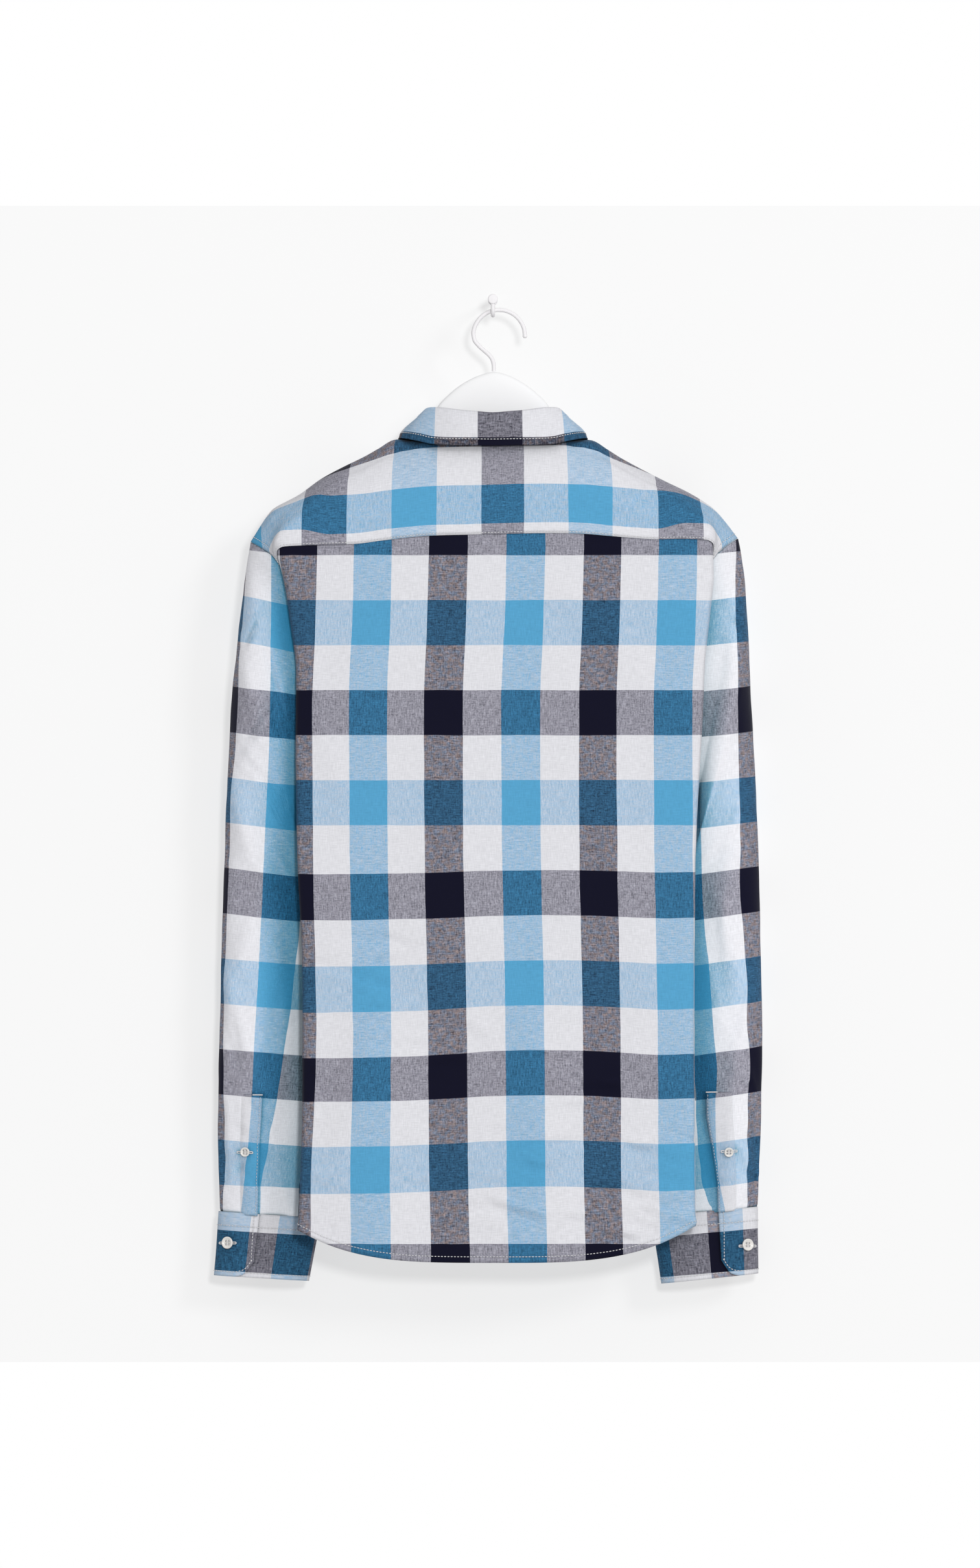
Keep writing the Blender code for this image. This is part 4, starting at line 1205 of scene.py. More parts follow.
def group_tree(name: str, sockets: Sequence[tuple[str, str, str, object]],
               kind: str = "ShaderNodeTree") -> Tree:
    """Start a node group.

    Args:
        name: Its name.
        sockets: (name, INPUT or OUTPUT, socket type without its prefix, default or None).
        kind: Type of the tree.

    Returns:
        Its tree, without nodes.
    """
    made = bpy.data.node_groups.new(name, kind)
    for label, way, holds, default in sockets:
        socket = made.interface.new_socket(name=label, in_out=way, socket_type="NodeSocket" + holds)
        if default is not None:
            socket.default_value = default
    return Tree(made)


def surface(name: str, values: dict) -> tuple[Material, Tree, Node]:
    """Start a material.

    Args:
        name: Its name.
        values: Inputs of its shader that are the same all over.

    Returns:
        The material, its tree and its shader.
    """
    made = bpy.data.materials.new(name)
    made.use_nodes = True
    tree = Tree(made.node_tree)
    shader = made.node_tree.nodes["Principled BSDF"]
    tree.feed(shader, values)
    return made, tree, shader


# ---------------------------------------------------------------- finishes




def srgb(*levels: int) -> Colour:
    """Return a linear colour from three 8-bit values."""
    shares = (level / 255 for level in levels)
    return tuple(t / 12.92 if t <= .04045 else ((t + .055) / 1.055) ** 2.4 for t in shares) + (1.0,)


NAVY = srgb(8, 8, 30)
SKY = srgb(88, 164, 206)
WHITE = srgb(226, 226, 231)
CLOTH_SPECULAR = .14


class Yarn(NamedTuple):
    """The warp or the weft inside the weave: its colour, brightness, slubs and threads."""

    colour: Value
    grey: Value
    slub: Value
    wave: Value


@dataclass(frozen=True)
class Weave:
    """The check, as one group: two sets of yarn stripes crossed, with slubs and uneven cover."""

    wander: float = .0016
    wander_scale: float = 18.0
    slub_scale: Pair = (1300.0, 120.0)
    slub_gain: float = 3.0
    grain_scale: float = 620.0
    grain: float = .42
    lean: float = .08
    dimness: float = 1.32
    dim_cover: float = .55
    fade: float = .36
    pale_tint: Colour = (1.02, .98, 1.2, 1)
    fleck_gain: float = 1.7
    fleck_scale: float = 240.0
    fleck_contrast: Pair = (3.6, 1.3)
    fleck_tints: tuple[Colour, Colour] = ((1.24, .93, .84, 1), (.72, .93, 1.26, 1))
    deep_gain: float = 3.0
    deep_tint: Colour = (.75, .97, 1.16, 1)
    dark_warp_tint: Colour = (1.2, .78, .78, 1)

    def stripes(self) -> NodeTree:
        """Build the group that picks the yarn of one stripe set: navy, white, sky, white.

        Returns:
            The group.
        """
        tree = group_tree("Yarn stripes", (
            ("Across", "INPUT", "Float", 0.0), ("Stripe", "INPUT", "Float", .036),
            ("Navy", "INPUT", "Color", NAVY), ("White", "INPUT", "Color", WHITE),
            ("Sky", "INPUT", "Color", SKY), ("Color", "OUTPUT", "Color", None)))
        given = tree.given()
        turn = tree.math("FRACT", given["Across"] / given["Stripe"] / 4.0)
        is_navy = tree.math("LESS_THAN", turn, .25)
        is_sky = tree.math("GREATER_THAN", turn, .5) * tree.math("LESS_THAN", turn, .75)
        colour = tree.blend(is_sky, tree.blend(is_navy, given["White"], given["Navy"]), given["Sky"])
        tree.add("NodeGroupOutput", {"Color": colour})
        return tree.tree

    def yarn(self, tree: Tree, stripes: NodeTree, axis: int, shift: Value,
             given: dict[str, Value]) -> Yarn:
        """Lay one yarn.

        Args:
            tree: The weave's tree.
            stripes: The group of one stripe set.
            axis: 0 for the warp and 1 for the weft.
            shift: How far its stripes stray.
            given: The weave's inputs.

        Returns:
            The yarn.
        """
        parts = tree.add("ShaderNodeSeparateXYZ", {0: given["Vector"]}).outputs
        across = shift + parts[axis]
        colour = tree.value("ShaderNodeGroup", {"Across": across, "Stripe": (WARP, WEFT)[axis] * MM},
                            node_tree=stripes)
        scale = self.slub_scale if axis == 0 else self.slub_scale[::-1]
        thread = tree.math("DIVIDE", math.pi, given["Thread"])
        return Yarn(colour, tree.value("ShaderNodeRGBToBW", {0: colour}),
                    tree.noise(given["Vector"], 1.0, 3.0, scale + (1,)), tree.math("SINE", across * thread))

    def group(self) -> NodeTree:
        """Build the group that weaves the check.

        Returns:
            The group.
        """
        tree = group_tree("Checked linen", (
            ("Vector", "INPUT", "Vector", None), ("Thread", "INPUT", "Float", .00062),
            ("Slub", "INPUT", "Float", .22), ("Weave", "INPUT", "Float", .2),
            ("Balance", "INPUT", "Float", .44), ("Cover", "INPUT", "Float", .25),
            ("Color", "OUTPUT", "Color", None), ("Height", "OUTPUT", "Float", None)))
        given = tree.given()
        place = given["Vector"]
        shift = (tree.noise(place, self.wander_scale) - .5) * self.wander
        stripes = self.stripes()
        warp, weft = (self.yarn(tree, stripes, axis, shift, given) for axis in (0, 1))
        over = warp.wave * weft.wave
        slubs = warp.slub + weft.slub
        contrast = warp.grey - weft.grey
        cubed = contrast * (contrast * contrast)
        dim = tree.math("MAXIMUM", warp.grey, weft.grey) * -self.dimness + 1.0
        share = cubed * given["Cover"] + (contrast * self.lean + given["Balance"])
        share = dim * contrast * self.dim_cover + share
        uneven = (weft.slub - warp.slub) * given["Slub"] * self.slub_gain
        uneven = (tree.noise(place, self.grain_scale, 1.0) - .5) * self.grain + uneven
        share = (over * given["Weave"] + (share + uneven)).held()
        colour = tree.blend(share, warp.colour, weft.colour)
        colour = tree.blend(tree.math("MAXIMUM", cubed, 0.0), colour, self.pale_tint, "MULTIPLY")
        strong, start = self.fleck_contrast
        fleck = (tree.noise(place, self.fleck_scale) * strong - start).held()
        tint = tree.blend(fleck, *self.fleck_tints)
        colour = tree.blend((cubed * -self.fleck_gain).held(), colour, tint, "MULTIPLY")
        deep = (dim * tree.math("ABSOLUTE", contrast) * self.deep_gain).held()
        colour = tree.blend(deep, colour, self.deep_tint, "MULTIPLY")
        dark_warp = deep * tree.math("LESS_THAN", contrast, 0.0)
        colour = tree.blend(dark_warp, colour, self.dark_warp_tint, "MULTIPLY")
        tree.add("NodeGroupOutput", {"Color": tree.scaled(colour, slubs * self.fade + (1 - self.fade)),
                                     "Height": tree.math("ABSOLUTE", over) + slubs})
        return tree.tree


@dataclass(frozen=True)
class Linen:
    """Checked linen, with shade painted into its colour by ambient occlusion and its brightness scaled by a
    painted-light gain.
    """

    name: str
    roughness: float = .88
    relief: float = .00012
    sheen: float = .04
    # Reach of the ambient occlusion that paints shade into the colour, in metres.
    reach: float = .05
    # Power of that occlusion on the colour: painted shade in creases and beside other pieces.
    shade: float = .3
    balance: float = .44
    cover: float = .25
    # How strongly painted shade darkens saturated cells and tints them towards the shade tint.
    richer: float = 1.0
    rich_tint: Colour = (.33, .6, .65, 1)
    # Factor on the colour; above 1 it paints extra light.
    gain: float = 1.0

    def make(self, weave: NodeTree) -> Material:
        """Make the material, with shade and light painted into its colour.

        Args:
            weave: The group that weaves the check.

        Returns:
            The material.
        """
        made, tree, shader = surface(self.name, {
            "Roughness": self.roughness, "Sheen Weight": self.sheen, "Specular IOR Level": CLOTH_SPECULAR})
        place = tree.value("ShaderNodeUVMap", uv_map=UV_NAME)
        cloth = tree.add("ShaderNodeGroup", {"Vector": place, "Balance": self.balance, "Cover": self.cover},
                         node_tree=weave).outputs
        # Painted shade: ambient occlusion, high where other cloth is near, makes the colour darker and more
        # saturated.
        near = tree.value("ShaderNodeAmbientOcclusion", {"Distance": self.reach}, "AO", samples=6)
        strength = tree.value("ShaderNodeSeparateColor", {0: cloth["Color"]}, 1, mode="HSV")
        richer = ((near * -self.richer + self.richer) * strength).held()
        shade_saturated_colour = tree.blend(richer, cloth["Color"], self.rich_tint, "MULTIPLY")
        bump = tree.value("ShaderNodeBump", {"Height": cloth["Height"], "Strength": .5,
                                             "Distance": self.relief})
        # The colour darkened by the occlusion as painted shade and scaled by the gain as painted light.
        deep = tree.scaled(shade_saturated_colour, tree.math("POWER", near, self.shade) * self.gain)
        tree.feed(shader, {"Base Color": deep, "Normal": bump})
        return made


@dataclass(frozen=True)
class Coat:
    """A plain finish with fine unevenness: paint, lacquer, polyester or thread."""

    name: str
    colour: Colour
    roughness: float
    coat: float = 0.0
    grain: float = .06
    stretch: Triple = (300, 300, 300)
    relief: float = .00004

    def make(self) -> Material:
        """Make the material.

        Returns:
            The material.
        """
        made, tree, shader = surface(self.name, {"Coat Weight": self.coat})
        grain = tree.noise(tree.value("ShaderNodeTexCoord", output="Object"), 1.0, 4.0, self.stretch)
        dark = tuple(value * (1 - self.grain * 2) for value in self.colour[:3]) + (1.0,)
        bump = tree.value("ShaderNodeBump", {"Height": grain, "Strength": .4, "Distance": self.relief})
        tree.feed(shader, {"Base Color": tree.blend(grain, dark, self.colour),
                           "Roughness": grain * .16 + (self.roughness - .08), "Normal": bump})
        return made


class Finishes:
    """Every material of the shirt, made once."""

    def __init__(self) -> None:
        """Make them."""
        weave = Weave().group()
        firm = {"roughness": .85, "relief": .0001}
        # Every linen copy paints shade from ambient occlusion into its colour; the sleeves' copy also paints
        # extra light with its gain and strongly saturated shade near the body, and the cuffs' copy deeper
        # painted shade.
        self.linen = Linen("Checked linen").make(weave)
        self.sleeve = Linen("Checked linen, sleeves", shade=.2, richer=14, gain=1.17).make(weave)
        self.trim = Linen("Checked linen, interlined", **firm).make(weave)
        self.cuff = Linen("Checked linen, cuffs", shade=.5, balance=.6, **firm).make(weave)
        self.collar = Linen("Checked linen, collar", cover=.62, **firm).make(weave)
        self.thread = Coat("White sewing thread", srgb(232, 231, 233), .7, grain=.1,
                           stretch=(2500, 2500, 2500)).make()
        self.button = Coat("White polyester", srgb(234, 231, 226), .28, coat=.5, grain=.04,
                           stretch=(60, 60, 420)).make()
        self.wood = Coat("White lacquered beech", srgb(251, 251, 252), .7, grain=.015,
                         stretch=(9, 140, 160), relief=.0001).make()
        self.metal = Coat("White powder coat", srgb(244, 242, 244), .6, grain=.015,
                          stretch=(900, 900, 900)).make()


# ---------------------------------------------------------------- stitches and turned things


@dataclass
class Stitcher:
    """Lays rows of stitches with Geometry Nodes: a capsule at each step along a line."""

    thread: Material
    pitch: float = 3.0
    length: float = 2.3
    thick: float = .8
    uneven: Pair = (.88, 1.08)
    tree: NodeTree = field(init=False)

    def __post_init__(self) -> None:
        """Build the node tree."""
        tree = group_tree("Rows of stitches", (
            ("Lines", "INPUT", "Geometry", None), ("Pitch", "INPUT", "Float", self.pitch * MM),
            ("Length", "INPUT", "Float", self.length * MM), ("Thick", "INPUT", "Float", self.thick * MM),
            ("Seed", "INPUT", "Int", 7), ("Stitches", "OUTPUT", "Geometry", None)), "GeometryNodeTree")
        given = tree.given()
        curve = tree.value("GeometryNodeMeshToCurve", {"Mesh": given["Lines"]})
        even = tree.value("GeometryNodeResampleCurve", {"Curve": curve, "Length": given["Pitch"]},
                          mode="LENGTH")
        tangent = tree.value("GeometryNodeInputTangent")
        turn = tree.value("FunctionNodeAlignRotationToVector", {"Vector": tangent}, axis="X")
        ball = tree.value("GeometryNodeMeshUVSphere", {"Segments": 6, "Rings": 4, "Radius": 1.0})
        shortest, longest = self.uneven
        uneven = tree.value("FunctionNodeRandomValue", {"Seed": given["Seed"], 2: shortest, 3: longest}, 1,
                            data_type="FLOAT")
        half = given["Thick"] * .5
        size = tree.value("ShaderNodeCombineXYZ", {0: given["Length"] * .5 * uneven, 1: half, 2: half})
        placed = tree.value("GeometryNodeInstanceOnPoints", {
            "Points": even, "Instance": ball, "Rotation": turn, "Scale": size})
        real = tree.value("GeometryNodeRealizeInstances", {0: placed})
        done = tree.value("GeometryNodeSetMaterial", {0: real, "Material": self.thread})
        tree.add("NodeGroupOutput", {0: done})
        self.tree = tree.tree

    def sew(self, name: str, lines: Sequence[Array], seed: int = 7, **sizes: float) -> Object:
        """Return rows of stitches along lines.

        Args:
            name: Name of the piece.
            lines: Points of each line, in millimetres.
            seed: Fixed seed of their unevenness.
            **sizes: pitch, length or thick, where they differ.

        Returns:
            The piece.
        """
        mesh = bpy.data.meshes.new(name)
        points = np.concatenate(lines) * MM
        starts = np.cumsum([0] + [len(line) for line in lines])
        edges = [(i, i + 1) for first, stop in zip(starts, starts[1:]) for i in range(first, stop - 1)]
        mesh.from_pydata(points.tolist(), edges, [])
        piece = linked(name, mesh)
        worker = piece.modifiers.new("Stitches", "NODES")
        worker.node_group = self.tree
        given = {part.capitalize(): sizes.get(part, getattr(self, part)) * MM
                 for part in ("pitch", "length", "thick")}
        given["Seed"] = seed
        for item in self.tree.interface.items_tree:
            if item.name in given:
                worker[item.identifier] = given[item.name]
        piece = settled(piece)
        if not piece.data.materials:
            piece.data.materials.append(self.thread)
        piece.data.shade_smooth()
        return piece


def framed(point: Array, normal: Array) -> Matrix:
    """Place a thing on the cloth, with its Z out of it and its X across the garment.

    Args:
        point: Where, in millimetres.
        normal: The way out of the cloth.

    Returns:
        Its place and turn.
    """
    out = Vector(normal).normalized()
    across = Vector((1, 0, 0)) - out * out.x
    across.normalize()
    turned = Matrix((across, out.cross(across), out)).transposed().to_4x4()
    return Matrix.Translation(Vector(point) * MM) @ turned


def joined(name: str, pieces: Sequence[Object]) -> Object:
    """Make one object of several, at the origin.

    Args:
        name: Its name.
        pieces: The objects, which are used up.

    Returns:
        The object.
    """
    bpy.context.view_layer.update()
    whole = bmesh.new()
    slots: list[Material] = []
    for piece in pieces:
        before = len(whole.faces)
        mesh = piece.data
        mesh.transform(piece.matrix_world)
        whole.from_mesh(mesh)
        whole.faces.ensure_lookup_table()
        for face in whole.faces[before:]:
            made_of = mesh.materials[face.material_index]
            if made_of not in slots:
                slots.append(made_of)
            face.material_index = slots.index(made_of)
        bpy.data.objects.remove(piece)
    mesh = bpy.data.meshes.new(name)
    whole.to_mesh(mesh)
    whole.free()
    for made_of in slots:
        mesh.materials.append(made_of)
    return linked(name, mesh)


def lofted(name: str, loops: Sequence[Sequence[Sequence[float]]],
           material: Material) -> Object:
    """Stretch a closed skin over loops of points.

    Args:
        name: Its name.
        loops: Loops of one count, in millimetres; a loop of one point is a pole.
        material: Its finish.

    Returns:
        The object.
    """
    form = bmesh.new()
    count = max(len(loop) for loop in loops)
    rings = []
    for loop in loops:
        made = [form.verts.new([part * MM for part in point]) for point in loop]
        rings.append(made * count if len(made) == 1 else made)
    for low, high in zip(rings, rings[1:]):
        for k in range(count):
            corners = list(dict.fromkeys((low[k], low[(k + 1) % count], high[(k + 1) % count], high[k])))
            if len(corners) > 2:
                form.faces.new(corners)
    for end in (rings[0], rings[-1][::-1]):
        if len(set(end)) > 1:
            form.faces.new(end)
    bmesh.ops.recalc_face_normals(form, faces=form.faces)
    mesh = bpy.data.meshes.new(name)
    form.to_mesh(mesh)
    form.free()
    mesh.materials.append(material)
    mesh.shade_smooth()
    return linked(name, mesh)


def lathed(name: str, outline: Sequence[Pair], material: Material,
           around: int = 64) -> Object:
    """Turn a body about Z.

    Args:
        name: Its name.
        outline: (radius, height) from the bottom's middle to the top's middle, in millimetres.
        material: Its finish.
        around: Number of sides.

    Returns:
        The object.
    """
    turns = [math.tau * k / around for k in range(around)]
    rings = [[(radius * math.cos(t), radius * math.sin(t), height)
              for t in turns[:around if radius else 1]] for radius, height in outline]
    return lofted(name, rings, material)


def rounded(radius: float, low: float, high: float, corner: float, steps: int = 4) -> list:
    """Draw the outline of a disc with rounded edges.

    Args:
        radius: Of the disc.
        low: Height of its bottom.
        high: Height of its top.
        corner: Radius of its edges.
        steps: Cells round an edge.

    Returns:
        (radius, height) from its bottom's middle to its top's.
    """
    quarter = [math.radians(90 * k / steps) for k in range(steps + 1)]
    inner = radius - corner
    bottom = [(inner + corner * math.sin(t), low + corner - corner * math.cos(t)) for t in quarter]
    top = [(inner + corner * math.cos(t), high - corner + corner * math.sin(t)) for t in quarter]
    return [(0, low)] + bottom + top + [(0, high)]


def tube(name: str, line: Sequence[Sequence[float]], radius: float, material: Material,
         closed: bool = False, around: int = 4) -> Object:
    """Draw a round wire or thread along points, with filled ends.

    Args:
        name: Its name.
        line: Its points, in millimetres.
        radius: Of the wire.
        material: Its finish.
        closed: Whether its end meets its start.
        around: How finely it is rounded.

    Returns:
        The object.
    """
    curve = bpy.data.curves.new(name, "CURVE")
    curve.dimensions = "3D"
    curve.bevel_depth = radius * MM
    curve.bevel_resolution = around
    curve.use_fill_caps = True
    spline = curve.splines.new("POLY")
    spline.points.add(len(line) - 1)
    for point, place in zip(spline.points, line):
        point.co = (*(np.array(place) * MM), 1)
    spline.use_cyclic_u = closed
    drawn = linked(name, curve)
    graph = bpy.context.evaluated_depsgraph_get()
    mesh = bpy.data.meshes.new_from_object(drawn.evaluated_get(graph), depsgraph=graph)
    bpy.data.objects.remove(drawn)
    mesh.materials.clear()
    mesh.materials.append(material)
    mesh.shade_smooth()
    return linked(name, mesh)


# ---------------------------------------------------------------- how the check lies on the pieces

BACK_DRIFT = Profile([(-230.7, 0), (-299.7, -1.8), (-377.7, -4.8), (-503.7, -4.2), (-545.7, -3.6),
                      (-623.7, -1.8), (-713.7, -.6), (-803.7, 0), (-881.7, 1.8)])
SIDE_PULL = Profile([(-166, -4.2), (-131, -2.4), (-95, -1.6), (-60, 0), (90, 0), (120, 1.2), (152, 2.4)])
PULL_LEVEL = Profile([(-870, -.9), (-803, -.5), (-743, .4), (-680, 1)])
ROW_SAG = Profile([(-156, 7.5), (-120, 7), (-84, 6), (-42, 4), (0, 1), (42, 0), (84, .6), (120, 2.4),
                   (156, 4.5), (180, 3.6)])
SAG_LEVEL = Profile([(-876, 0), (-850, .55), (-827, .85), (-744, .85), (-704, 1), (-661, .92), (-619, .8),
                     (-576, .65), (-533, .5), (-489, 0)])
HEM_SLACK = Profile([(-893, 15.5), (-876, 12.8), (-828, 1.8), (-800, 0)])
YOKE_PULL = Profile([(-10, 0), (28, 2.4), (70, 3), (111, 3.6), (153, 2.6)])
BODY_WARP, BODY_WEFT = 59.1, -196.25
YOKE_WARP, YOKE_WEFT = 2 * WARP - 10, 10.5
COLLAR_WARP, COLLAR_WEFT = WARP - 7.4, 14.1

SLEEVE_DRIFT = {
    "left": (
        Profile([(-317.7, -236.1), (-347.7, -238.5), (-378.9, -240.3), (-443.1, -242.7), (-485.7, -246.3),
                 (-571.5, -248.7), (-614.1, -250.5), (-697.5, -251.1)]),
        Profile([(-239.7, -205.5), (-332.7, -207.3), (-419.7, -210.3), (-489.9, -212.7), (-573.3, -216.3),
                 (-659.1, -220.5), (-702.3, -222.3), (-760, -225.6), (-803.7, -228.9), (-846.9, -233.7)]),
        Profile([(-240, -173.5), (-416, -177), (-582.3, -180.9), (-620.7, -185.1), (-661.5, -189.3),
                 (-704.1, -195.9), (-740.7, -201.3), (-770.7, -207.3), (-797.7, -212.1), (-821.7, -216.9)]),
    ),
    "right": (
        Profile([(-263.7, 226.5), (-317.7, 228.9), (-401.7, 230.1), (-483.3, 232.5), (-564.3, 234.3),
                 (-609.9, 236.1), (-650.7, 237.9), (-693.3, 237.3)]),
        Profile([(-240, 191.5), (-447.3, 193.5), (-533.1, 196.5), (-573.3, 200.1), (-657.3, 204.9),
                 (-695.7, 207.9), (-737.7, 206.1), (-803.7, 209.1), (-824.1, 212.1), (-846.9, 215.7)]),
        Profile([(-240, 157), (-600, 169), (-700, 184), (-737.7, 188.1), (-797.7, 193.5), (-827.7, 198.9),
                 (-846.9, 206.7)]),
    ),
}
SLEEVE_SLOPE = {
    "left": Profile([(-233, .14), (-274, .23), (-316, .26), (-359, .175), (-442, .16), (-484, .13),
                     (-568, .12), (-613, .08), (-780, .08), (-821, .04)]),
    "right": Profile([(-233, .14), (-846, .14)]),
}
SLEEVE_WEFT = {"left": (233.1, 42.04), "right": (233.7, 41.75)}
OUTER_STRETCH, TURN_REACH = 1.3, 22.0
CUFF_STRIPES = {"left": (-202.0, 2, -227.1), "right": (200.7, 1, 232.5)}
CUFF_ROW, CUFF_HEM = 37.5, 5.0


def level_travel(points: Array) -> Array:
    """Measure along each row in plan.

    Args:
        points: A grid of points.

    Returns:
        Distances that are 0 at the middle and grow with x.
    """
    travel = travelled(points[..., :2], 1) * np.sign(points[:, -1:, 0] - points[:, :1, 0])
    rows = np.arange(len(points))
    nearest = np.argmin(np.abs(points[..., 0]), axis=1)
    zero = travel[rows, nearest] - points[rows, nearest, 0]
    return travel - zero[:, None]


def body_cloth(points: Array) -> Array:
    """Lay the cloth of the back and the fronts, cut with the warp upright.

    Args:
        points: A grid of points.

    Returns:
        Their cloth coordinates.
    """
    x, z = points[..., 0], points[..., 2]
    pull = SIDE_PULL(x) * np.where(x < 0, PULL_LEVEL(z), 1.0)
    warp = level_travel(points) - BACK_DRIFT(z) + BODY_WARP + pull
    return np.stack([warp, BODY_WEFT - z - ROW_SAG(x) * SAG_LEVEL(z) - HEM_SLACK(z)], -1)


def crosswise(points: Array, up: Array, warp: float, weft: float) -> Array:
    """Return the cloth coordinates of a piece cut with the warp level."""
    return np.stack([warp + up, level_travel(points) + weft], -1)


def sleeve_cloth(side: Side, points: Array, outer: int) -> Array:
    """Return the cloth coordinates of a sleeve whose columns start and end at its seam.

    Args:
        side: The sleeve's side.
        points: Its points; the first and last column are the seam.
        outer: Column on its outer edge.

    Returns:
        The coordinates.
    """
    z = points[..., 2]
    inward = -side.sign * points[..., 0]
    marks = [-side.sign * profile(z) for profile in SLEEVE_DRIFT[side.name]]
    stretch = np.where(inward < marks[0], OUTER_STRETCH, WARP / (marks[1] - marks[0]))
    first = (inward - marks[0]) * stretch
    second = WARP + (inward - marks[1]) * WARP / (marks[2] - marks[1])
    third = 2 * WARP + inward - marks[2]
    seen = np.where(inward < marks[1], first, np.where(inward < marks[2], second, third))
    flat = np.linalg.norm(np.diff(points[..., :2], axis=1), axis=-1)
    step = flat.copy()
    step[:, outer:] = np.maximum(np.abs(np.diff(seen, axis=1))[:, outer:], .8 * flat[:, outer:])
    warp = np.concatenate([np.zeros((len(points), 1)), np.cumsum(step, axis=1)], axis=1)
    for row in range(len(points)):
        warp[row] += WARP - np.interp(marks[1][row, outer], inward[row, outer:], warp[row, outer:])
    reach = np.abs(points[..., 0] - points[:, outer:outer + 1, 0])
    turned = (flat - np.abs(np.diff(points[..., 0], axis=1)))[:, :outer]
    turned = np.cumsum(turned[:, ::-1], axis=1)[:, ::-1]
    straight = 2 * np.median(seen[:, outer]) - seen[:, :outer] - turned
    warp[:, :outer] = mix(warp[:, :outer], straight, smooth(reach[:, :outer] / TURN_REACH))
    down = -z - SLEEVE_SLOPE[side.name](z) * reach
    start, pitch = SLEEVE_WEFT[side.name]
    return np.stack([warp + WARP, WEFT * (down - start) / pitch + WEFT], -1)


def cuff_cloth(side: Side, points: Array) -> Array:
    """Lay the cloth of a cuff, a level band that laps over its own start.

    Args:
        side: The cuff's side.
        points: Its points.

    Returns:
        Their cloth coordinates.
    """
    middle = points[len(points) // 2]
    travel = travelled(middle, 0)
    under_x, stripe, over_x = CUFF_STRIPES[side.name]
    third = len(middle) // 3
    inward = -side.sign * middle[:, 0]
    first = slice(0, int(np.argmax(inward[:third])) + 1)
    last = slice(int(np.argmin(inward)), None)
    under = np.interp(-side.sign * under_x, inward[first], travel[first])
    over = np.interp(-side.sign * over_x, inward[last], travel[last])
    warp = WARP * (stripe + 5 * (travel - under) / (over - under))
    down = np.linalg.norm(points - points[:1], axis=-1)
    up = np.median(down[-1]) - down
    return np.stack([np.broadcast_to(warp, up.shape), (up - CUFF_HEM) * WEFT / CUFF_ROW], -1)


# ---------------------------------------------------------------- sub-assemblies

BACK_FOLDS = rows_of(
    Fold,
    (-60, -262, -176, -420, 15, 1.5, 8), (52, -258, 168, -402, 16, 1.3, -8),
    (-24, -300, -52, -560, 20, .9, 6), (30, -330, 20, -640, 24, -.9, -6),
    (-168, -330, -120, -520, 12, 1.0, 6), (176, -320, 138, -500, 12, 1.1, -5),
    (-140, -470, -60, -690, 18, -1.0, 8), (96, -480, 150, -700, 16, 1.0, -7),
    (-100, -640, -150, -860, 16, 1.3, 6), (30, -650, 64, -880, 18, 1.2, 5),
    (120, -690, 176, -742, 7, 1.2, 4), (118, -775, 186, -792, 5, 1.1, 3),
    (126, -806, 186, -818, 4.5, -1.0, 3), (134, -836, 182, -850, 4.5, 1.0, 2),
    (-176, -700, -120, -738, 6, .9, 3), (-172, -806, -116, -826, 5, .8, 4),
    (-60, -846, 8, -858, 5, .6, 3))
FRONT_FOLDS = rows_of(
    Fold,
    (-56, -250, -168, -420, 15, 1.4, 8), (60, -246, 170, -430, 15, 1.5, -8),
    (-40, -420, -66, -720, 17, 1.2, 6), (44, -380, 62, -660, 18, 1.1, -5),
    (-120, -560, -84, -840, 15, 1.2, 6), (120, -540, 96, -850, 16, 1.3, -6),
    (-150, -760, -90, -790, 6, .9, 3), (80, -800, 150, -826, 6, .8, 3))
YOKE_FOLDS = rows_of(
    Fold, (-150, -196, -60, -214, 7, .5, 4), (70, -182, 150, -206, 7, .5, -4),
    (-30, -176, 30, -184, 8, .4, 3))
SLEEVE_FOLDS = {
    "left": rows_of(
        Fold,
        (-240, -300, -205, -420, 9, 1.6, 4), (-246, -430, -205, -560, 9, 1.7, 5),
        (-206, -500, -244, -640, 8, 1.5, -4), (-251, -744, -248, -828, 5, -2.4, 3),
        (-248, -620, -208, -742, 8, 2.0, 5), (-190, -640, -214, -790, 7, 1.9, -4),
        (-232, -690, -222, -842, 6, 1.2, 4), (-204, -780, -190, -846, 5, 1.2, 3)),
    "right": rows_of(
        Fold,
        (226, -310, 200, -440, 9, 1.5, -4), (240, -440, 200, -590, 9, 1.6, -5),
        (205, -540, 242, -660, 8, 1.5, 4), (239, -738, 242, -838, 5, -2.4, -4),
        (240, -640, 206, -760, 8, 1.9, -5), (189, -738, 206, -846, 6, -1.4, -4),
        (224, -700, 214, -842, 6, 1.1, -4)),
}


